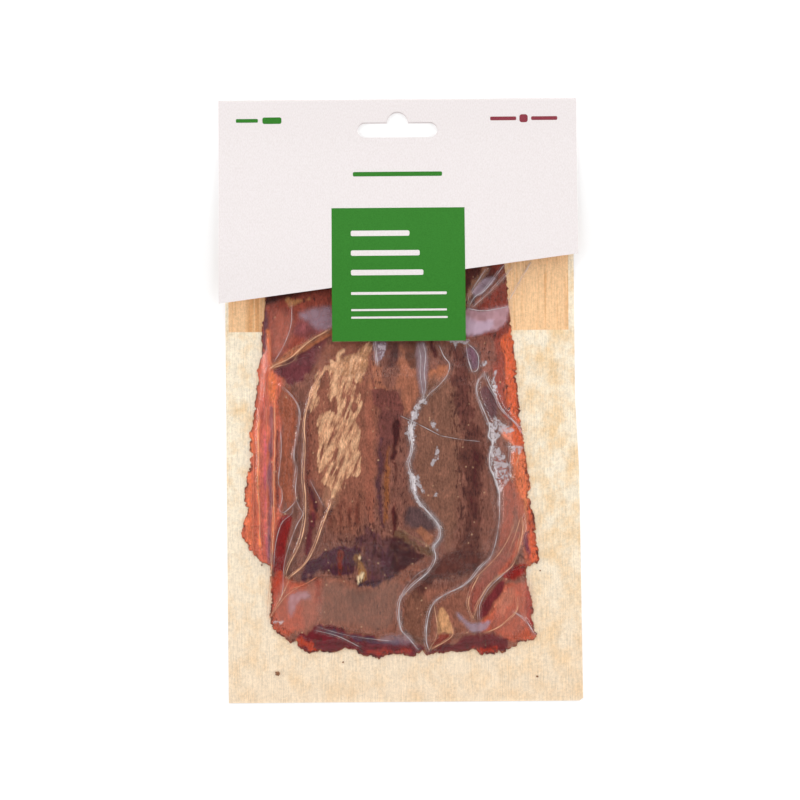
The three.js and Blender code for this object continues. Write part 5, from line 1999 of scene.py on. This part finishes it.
@dataclass
class FilmPleats:
    """The sharp, milky crests of the folds, with painted highlights, swept along their paths by geometry
    nodes.
    """

    film: SealedFilm
    spacing: float = 0.5
    sides: int = 6
    girth: float = 0.32
    sink: float = 0.35
    # How milky the crests are, which paints their highlights
    haze_and_sheen: float = 0.8
    # A thinner crest runs beside each broad one
    twin_gap: float = 0.9
    twin_size: float = 0.45
    twin_from: float = 0.4

    def tree(self, material: bpy.types.Material) -> bpy.types.NodeTree:
        """Build the tree that sweeps a small round section along each path.

        Args:
            material: the film.

        Returns:
            The node tree.
        """
        tree, start = new_tree("sweep pleats", "Girth")
        girth = add_node(tree, "GeometryNodeInputNamedAttribute", {"Name": "girth"}, data_type="FLOAT")
        sizes = {0: girth.outputs[0], 1: start.outputs["Girth"]}
        scaled = add_node(tree, "ShaderNodeMath", sizes, operation="MULTIPLY")
        paths = add_node(tree, "GeometryNodeMeshToCurve", {"Mesh": start.outputs["Geometry"]})
        even = add_node(tree, "GeometryNodeSetCurveRadius", {"Curve": paths.outputs[0], "Radius": 1.0})
        ring = {"Resolution": self.sides, "Radius": 1.0}
        section = add_node(tree, "GeometryNodeCurvePrimitiveCircle", ring)
        sweep = {"Curve": even, "Profile Curve": section, "Scale": scaled, "Fill Caps": True}
        end_tree(tree, add_node(tree, "GeometryNodeCurveToMesh", sweep), material)
        return tree

    def build(self, finishes: Finishes) -> bpy.types.Object:
        """Make the pleats.

        Args:
            finishes: the pack's materials.

        Returns:
            All pleats as one piece.
        """
        grid = self.film.stack.grid
        top = self.film.skin + self.film.rise
        vertices, edges, girths, colours, haze_and_sheen_values = [], [], [], [], []
        crests = [(fold, 0.0, 1.0) for fold in FOLDS]
        crests += [(fold, self.twin_gap, self.twin_size) for fold in FOLDS if fold.line >= self.twin_from]
        for number, (fold, aside, size) in enumerate(crests):
            path = curve_through(fold.path, self.spacing)
            x, y = path.T
            share = np.linspace(0.0, 1.0, len(path))
            # Each crest grows and shrinks along its path, is finely ragged, and tapers at both ends
            wander = ValueNoise(300 + number, 3.5, 3.5).at(x, y)
            x = x - aside * (0.75 + 0.5 * ValueNoise(400 + number, 6.0, 6.0).at(x, y))
            ragged = ValueNoise(500 + number, 0.9, 0.9).at(x, y)
            uneven = np.clip(0.8 + 0.5 * wander + 0.25 * ragged, 0.2, 1.4)
            tapered = 0.25 + 0.75 * ease(0.0, 0.08, share) * ease(1.0, 0.92, share)
            girth = self.girth * size * fold.line * uneven * tapered
            z = grid.sample(top, x, y) - self.sink * girth
            first = len(vertices)
            vertices += np.column_stack([x, y, z]).tolist()
            edges += [(first + i, first + i + 1) for i in range(len(path) - 1)]
            girths += girth.tolist()
            # Each crest's colour, and its milkiness that paints its highlight
            colours += [fold.tint.light] * len(path)
            haze_and_sheen_values += (self.haze_and_sheen * np.clip(0.85 + 0.3 * wander, 0.3, 1.0)).tolist()
        source = new_piece(
            "pleat_paths",
            np.array(vertices),
            [],
            [],
            colours={"sheen_veil": np.array(colours)},
            numbers={"haze_and_sheen": np.array(haze_and_sheen_values), "girth": np.array(girths)},
        )
        source.data.edges.add(len(edges))
        source.data.edges.foreach_set("vertices", np.array(edges, np.int32).ravel())
        piece = mesh_from_nodes(source, self.tree(finishes.film), {"Girth": MM}, "film_pleats")
        piece.data.polygons.foreach_set("use_smooth", np.ones(len(piece.data.polygons), bool))
        return settle(piece, "film_and_slices")


@dataclass
class Crumbs:
    """Loose bits of dried crust under the film, scattered by geometry nodes."""

    stack: MeatStack
    seed: int = 7
    flatness: float = 0.4
    dent: float = 0.16
    tilt: float = 0.4
    turn: float = 6.28

    def tree(self, material: bpy.types.Material) -> bpy.types.NodeTree:
        """Build the tree that puts a faceted bit on each point.

        Args:
            material: the crumbs' material.

        Returns:
            The node tree.
        """
        tree, start = new_tree("scatter crumbs", "Scale")
        ball = add_node(tree, "GeometryNodeMeshIcoSphere", {"Radius": 0.5, "Subdivisions": 2})
        ranges = {0: (-self.dent,) * 3, 1: (self.dent,) * 3, "Seed": self.seed}
        dent = add_node(tree, "FunctionNodeRandomValue", ranges, data_type="FLOAT_VECTOR")
        ranges = {0: (0.0,) * 3, 1: (self.tilt, self.tilt, self.turn), "Seed": self.seed + 1}
        turned = add_node(tree, "FunctionNodeRandomValue", ranges, data_type="FLOAT_VECTOR")
        lumpy = add_node(tree, "GeometryNodeSetPosition", {"Geometry": ball, "Offset": dent.outputs[0]})
        width = add_node(tree, "GeometryNodeInputNamedAttribute", {"Name": "width"}, data_type="FLOAT")
        sizes = {0: width.outputs[0], 1: start.outputs["Scale"]}
        scaled = add_node(tree, "ShaderNodeMath", sizes, operation="MULTIPLY")
        low = add_node(tree, "ShaderNodeMath", {0: scaled, 1: self.flatness}, operation="MULTIPLY")
        flat = add_node(tree, "ShaderNodeCombineXYZ", {0: scaled, 1: scaled, 2: low})
        places = {"Points": start.outputs["Geometry"], "Instance": lumpy, "Rotation": turned.outputs[0]}
        bits = add_node(tree, "GeometryNodeInstanceOnPoints", {**places, "Scale": flat})
        end_tree(tree, bits, material)
        return tree

    def build(self, finishes: Finishes) -> bpy.types.Object:
        """Make the crumbs.

        Args:
            finishes: the pack's materials.

        Returns:
            All crumbs as one piece.
        """
        x, y, width = np.array(self.stack.crumbs).T
        z = self.stack.sheet.top(y) + 0.5 * self.flatness * width
        source = new_piece("crumb_points", np.column_stack([x, y, z]), [], [], numbers={"width": width})
        piece = mesh_from_nodes(source, self.tree(finishes.crumb), {"Scale": MM}, "loose_crumbs")
        return settle(piece, "film_and_slices")


@dataclass(frozen=True)
class Softbox:
    """A softbox that faces the pack: its place, width and height in metres, and its radiance."""

    place: tuple[float, float, float]
    width: float
    height: float
    radiance: float
    # The fade takes half of the light, so the middle gives twice as much
    fade_gain: float = 2.04

    def fade(self, tree: bpy.types.NodeTree) -> None:
        """Let the softbox grow darker towards its edges, as a real one does.

        Args:
            tree: the light's node tree.
        """
        place = add_node(tree, "ShaderNodeNewGeometry").outputs["Parametric"]
        middle = add_node(tree, "ShaderNodeVectorMath", {0: place, 1: (0.5, 0.5, 0.0)}, operation="SUBTRACT")
        away = add_node(tree, "ShaderNodeVectorMath", {0: middle}, operation="ABSOLUTE")
        dim = []
        for axis in add_node(tree, "ShaderNodeSeparateXYZ", {0: away}).outputs[:2]:
            ranges = {"Value": axis, "From Min": 0.5, "From Max": 0.2}
            dim.append(add_node(tree, "ShaderNodeMapRange", ranges, interpolation_type="SMOOTHSTEP"))
        both = add_node(tree, "ShaderNodeMath", {0: dim[0], 1: dim[1]}, operation="MULTIPLY")
        strength = add_node(tree, "ShaderNodeMath", {0: both, 1: self.fade_gain}, operation="MULTIPLY")
        tree.links.new(strength.outputs[0], tree.nodes["Emission"].inputs["Strength"])

    def build(self, name: str) -> None:
        """Hang the softbox.

        Args:
            name: the light's name.
        """
        light = bpy.data.lights.new(name, "AREA")
        light.shape = "RECTANGLE"
        light.size = self.width
        light.size_y = self.height
        light.energy = self.radiance * math.pi * self.width * self.height
        light.use_nodes = True
        self.fade(light.node_tree)
        lamp = bpy.data.objects.new(name, light)
        lamp.location = self.place
        x, y, z = self.place
        lamp.rotation_euler = (math.atan2(math.hypot(x, y), z), 0.0, math.atan2(-x, y) + math.pi)
        bpy.context.scene.collection.objects.link(lamp)


@dataclass
class Studio:
    """The floor, the light and the camera that looks straight down, in metres."""

    camera_height: float = 1.0
    view_width: float = 0.32
    sensor: float = 0.036
    aim: tuple[float, float] = (-0.0003, 0.0002)
    turn: float = math.radians(-0.45)
    floor_size: float = 4.0
    floor_glow: float = 0.08
    tent: float = 0.92
    opening: float = 0.15
    opening_angles: tuple[float, float] = (27.0, 18.0)
    boxes: Sequence[Softbox] = (
        Softbox((-1.1, 0.2, 0.5), 0.8, 0.45, 4.0),
        Softbox((1.1, 0.1, 0.5), 0.8, 0.45, 3.5),
        Softbox((0.0, 1.1, 0.5), 0.8, 0.4, 2.5),
    )

    def hang_tent(self) -> None:
        """Put a white light tent round the pack, with a dark opening above, where the camera looks in."""
        world = bpy.data.worlds.new("light tent")
        world.use_nodes = True
        tree = world.node_tree
        tree.nodes["Background"].inputs["Color"].default_value = (1.0, 1.0, 1.0, 1.0)
        direction = add_node(tree, "ShaderNodeTexCoord").outputs["Generated"]
        up = add_node(tree, "ShaderNodeSeparateXYZ", {"Vector": direction}).outputs["Z"]
        low, high = (math.cos(math.radians(a)) for a in self.opening_angles)
        ranges = {"Value": up, "From Min": low, "From Max": high, "To Min": self.tent, "To Max": self.opening}
        strength = add_node(tree, "ShaderNodeMapRange", ranges, interpolation_type="SMOOTHSTEP")
        tree.links.new(strength.outputs[0], tree.nodes["Background"].inputs["Strength"])
        bpy.context.scene.world = world

    def lay_floor(self) -> None:
        """Lay white paper on a lit table, which keeps the pack's shadow faint."""
        half = self.floor_size / 2
        mesh = bpy.data.meshes.new("studio_floor")
        corners = [(-half, -half, 0), (half, -half, 0), (half, half, 0), (-half, half, 0)]
        mesh.from_pydata(corners, [], [(0, 1, 2, 3)])
        floor = bpy.data.objects.new("studio_floor", mesh)
        bpy.context.scene.collection.objects.link(floor)
        paper = CoatedBoard("white backdrop paper", "#FCFCFC", 0.9, shade="#FAFAFA").make()
        shader = paper.node_tree.nodes["Principled BSDF"]
        shader.inputs["Emission Color"].default_value = (1.0, 1.0, 1.0, 1.0)
        shader.inputs["Emission Strength"].default_value = self.floor_glow
        mesh.materials.append(paper)

    def set_camera(self) -> None:
        """Hold the camera straight above the pack."""
        camera = bpy.data.cameras.new("camera")
        camera.sensor_width = 1000 * self.sensor
        camera.lens = 1000 * self.sensor * self.camera_height / self.view_width
        eye = bpy.data.objects.new("camera", camera)
        eye.location = (*self.aim, self.camera_height)
        eye.rotation_euler = (0.0, 0.0, self.turn)
        bpy.context.scene.collection.objects.link(eye)
        bpy.context.scene.camera = eye

    def build(self) -> None:
        """Set up the floor, the light and the camera."""
        bpy.context.scene.view_settings.view_transform = "Standard"
        self.hang_tent()
        self.lay_floor()
        for number, box in enumerate(self.boxes):
            box.build(f"softbox_{number}")
        self.set_camera()


def main() -> None:
    """Build the pack and the studio."""
    logging.basicConfig(level=logging.INFO, format="%(message)s")
    finishes = Finishes()
    sheet = BackingSheet()
    sheet.build(finishes)
    card = HeaderCard()
    card.build(finishes)
    CardPrint(card).build(finishes)
    stack = MeatStack(sheet)
    stack.build(finishes)
    film = SealedFilm(sheet, stack)
    film.build(finishes)
    FilmPleats(film).build(finishes)
    Crumbs(stack).build(finishes)
    Studio().build()


if __name__ == "__main__":
    main()
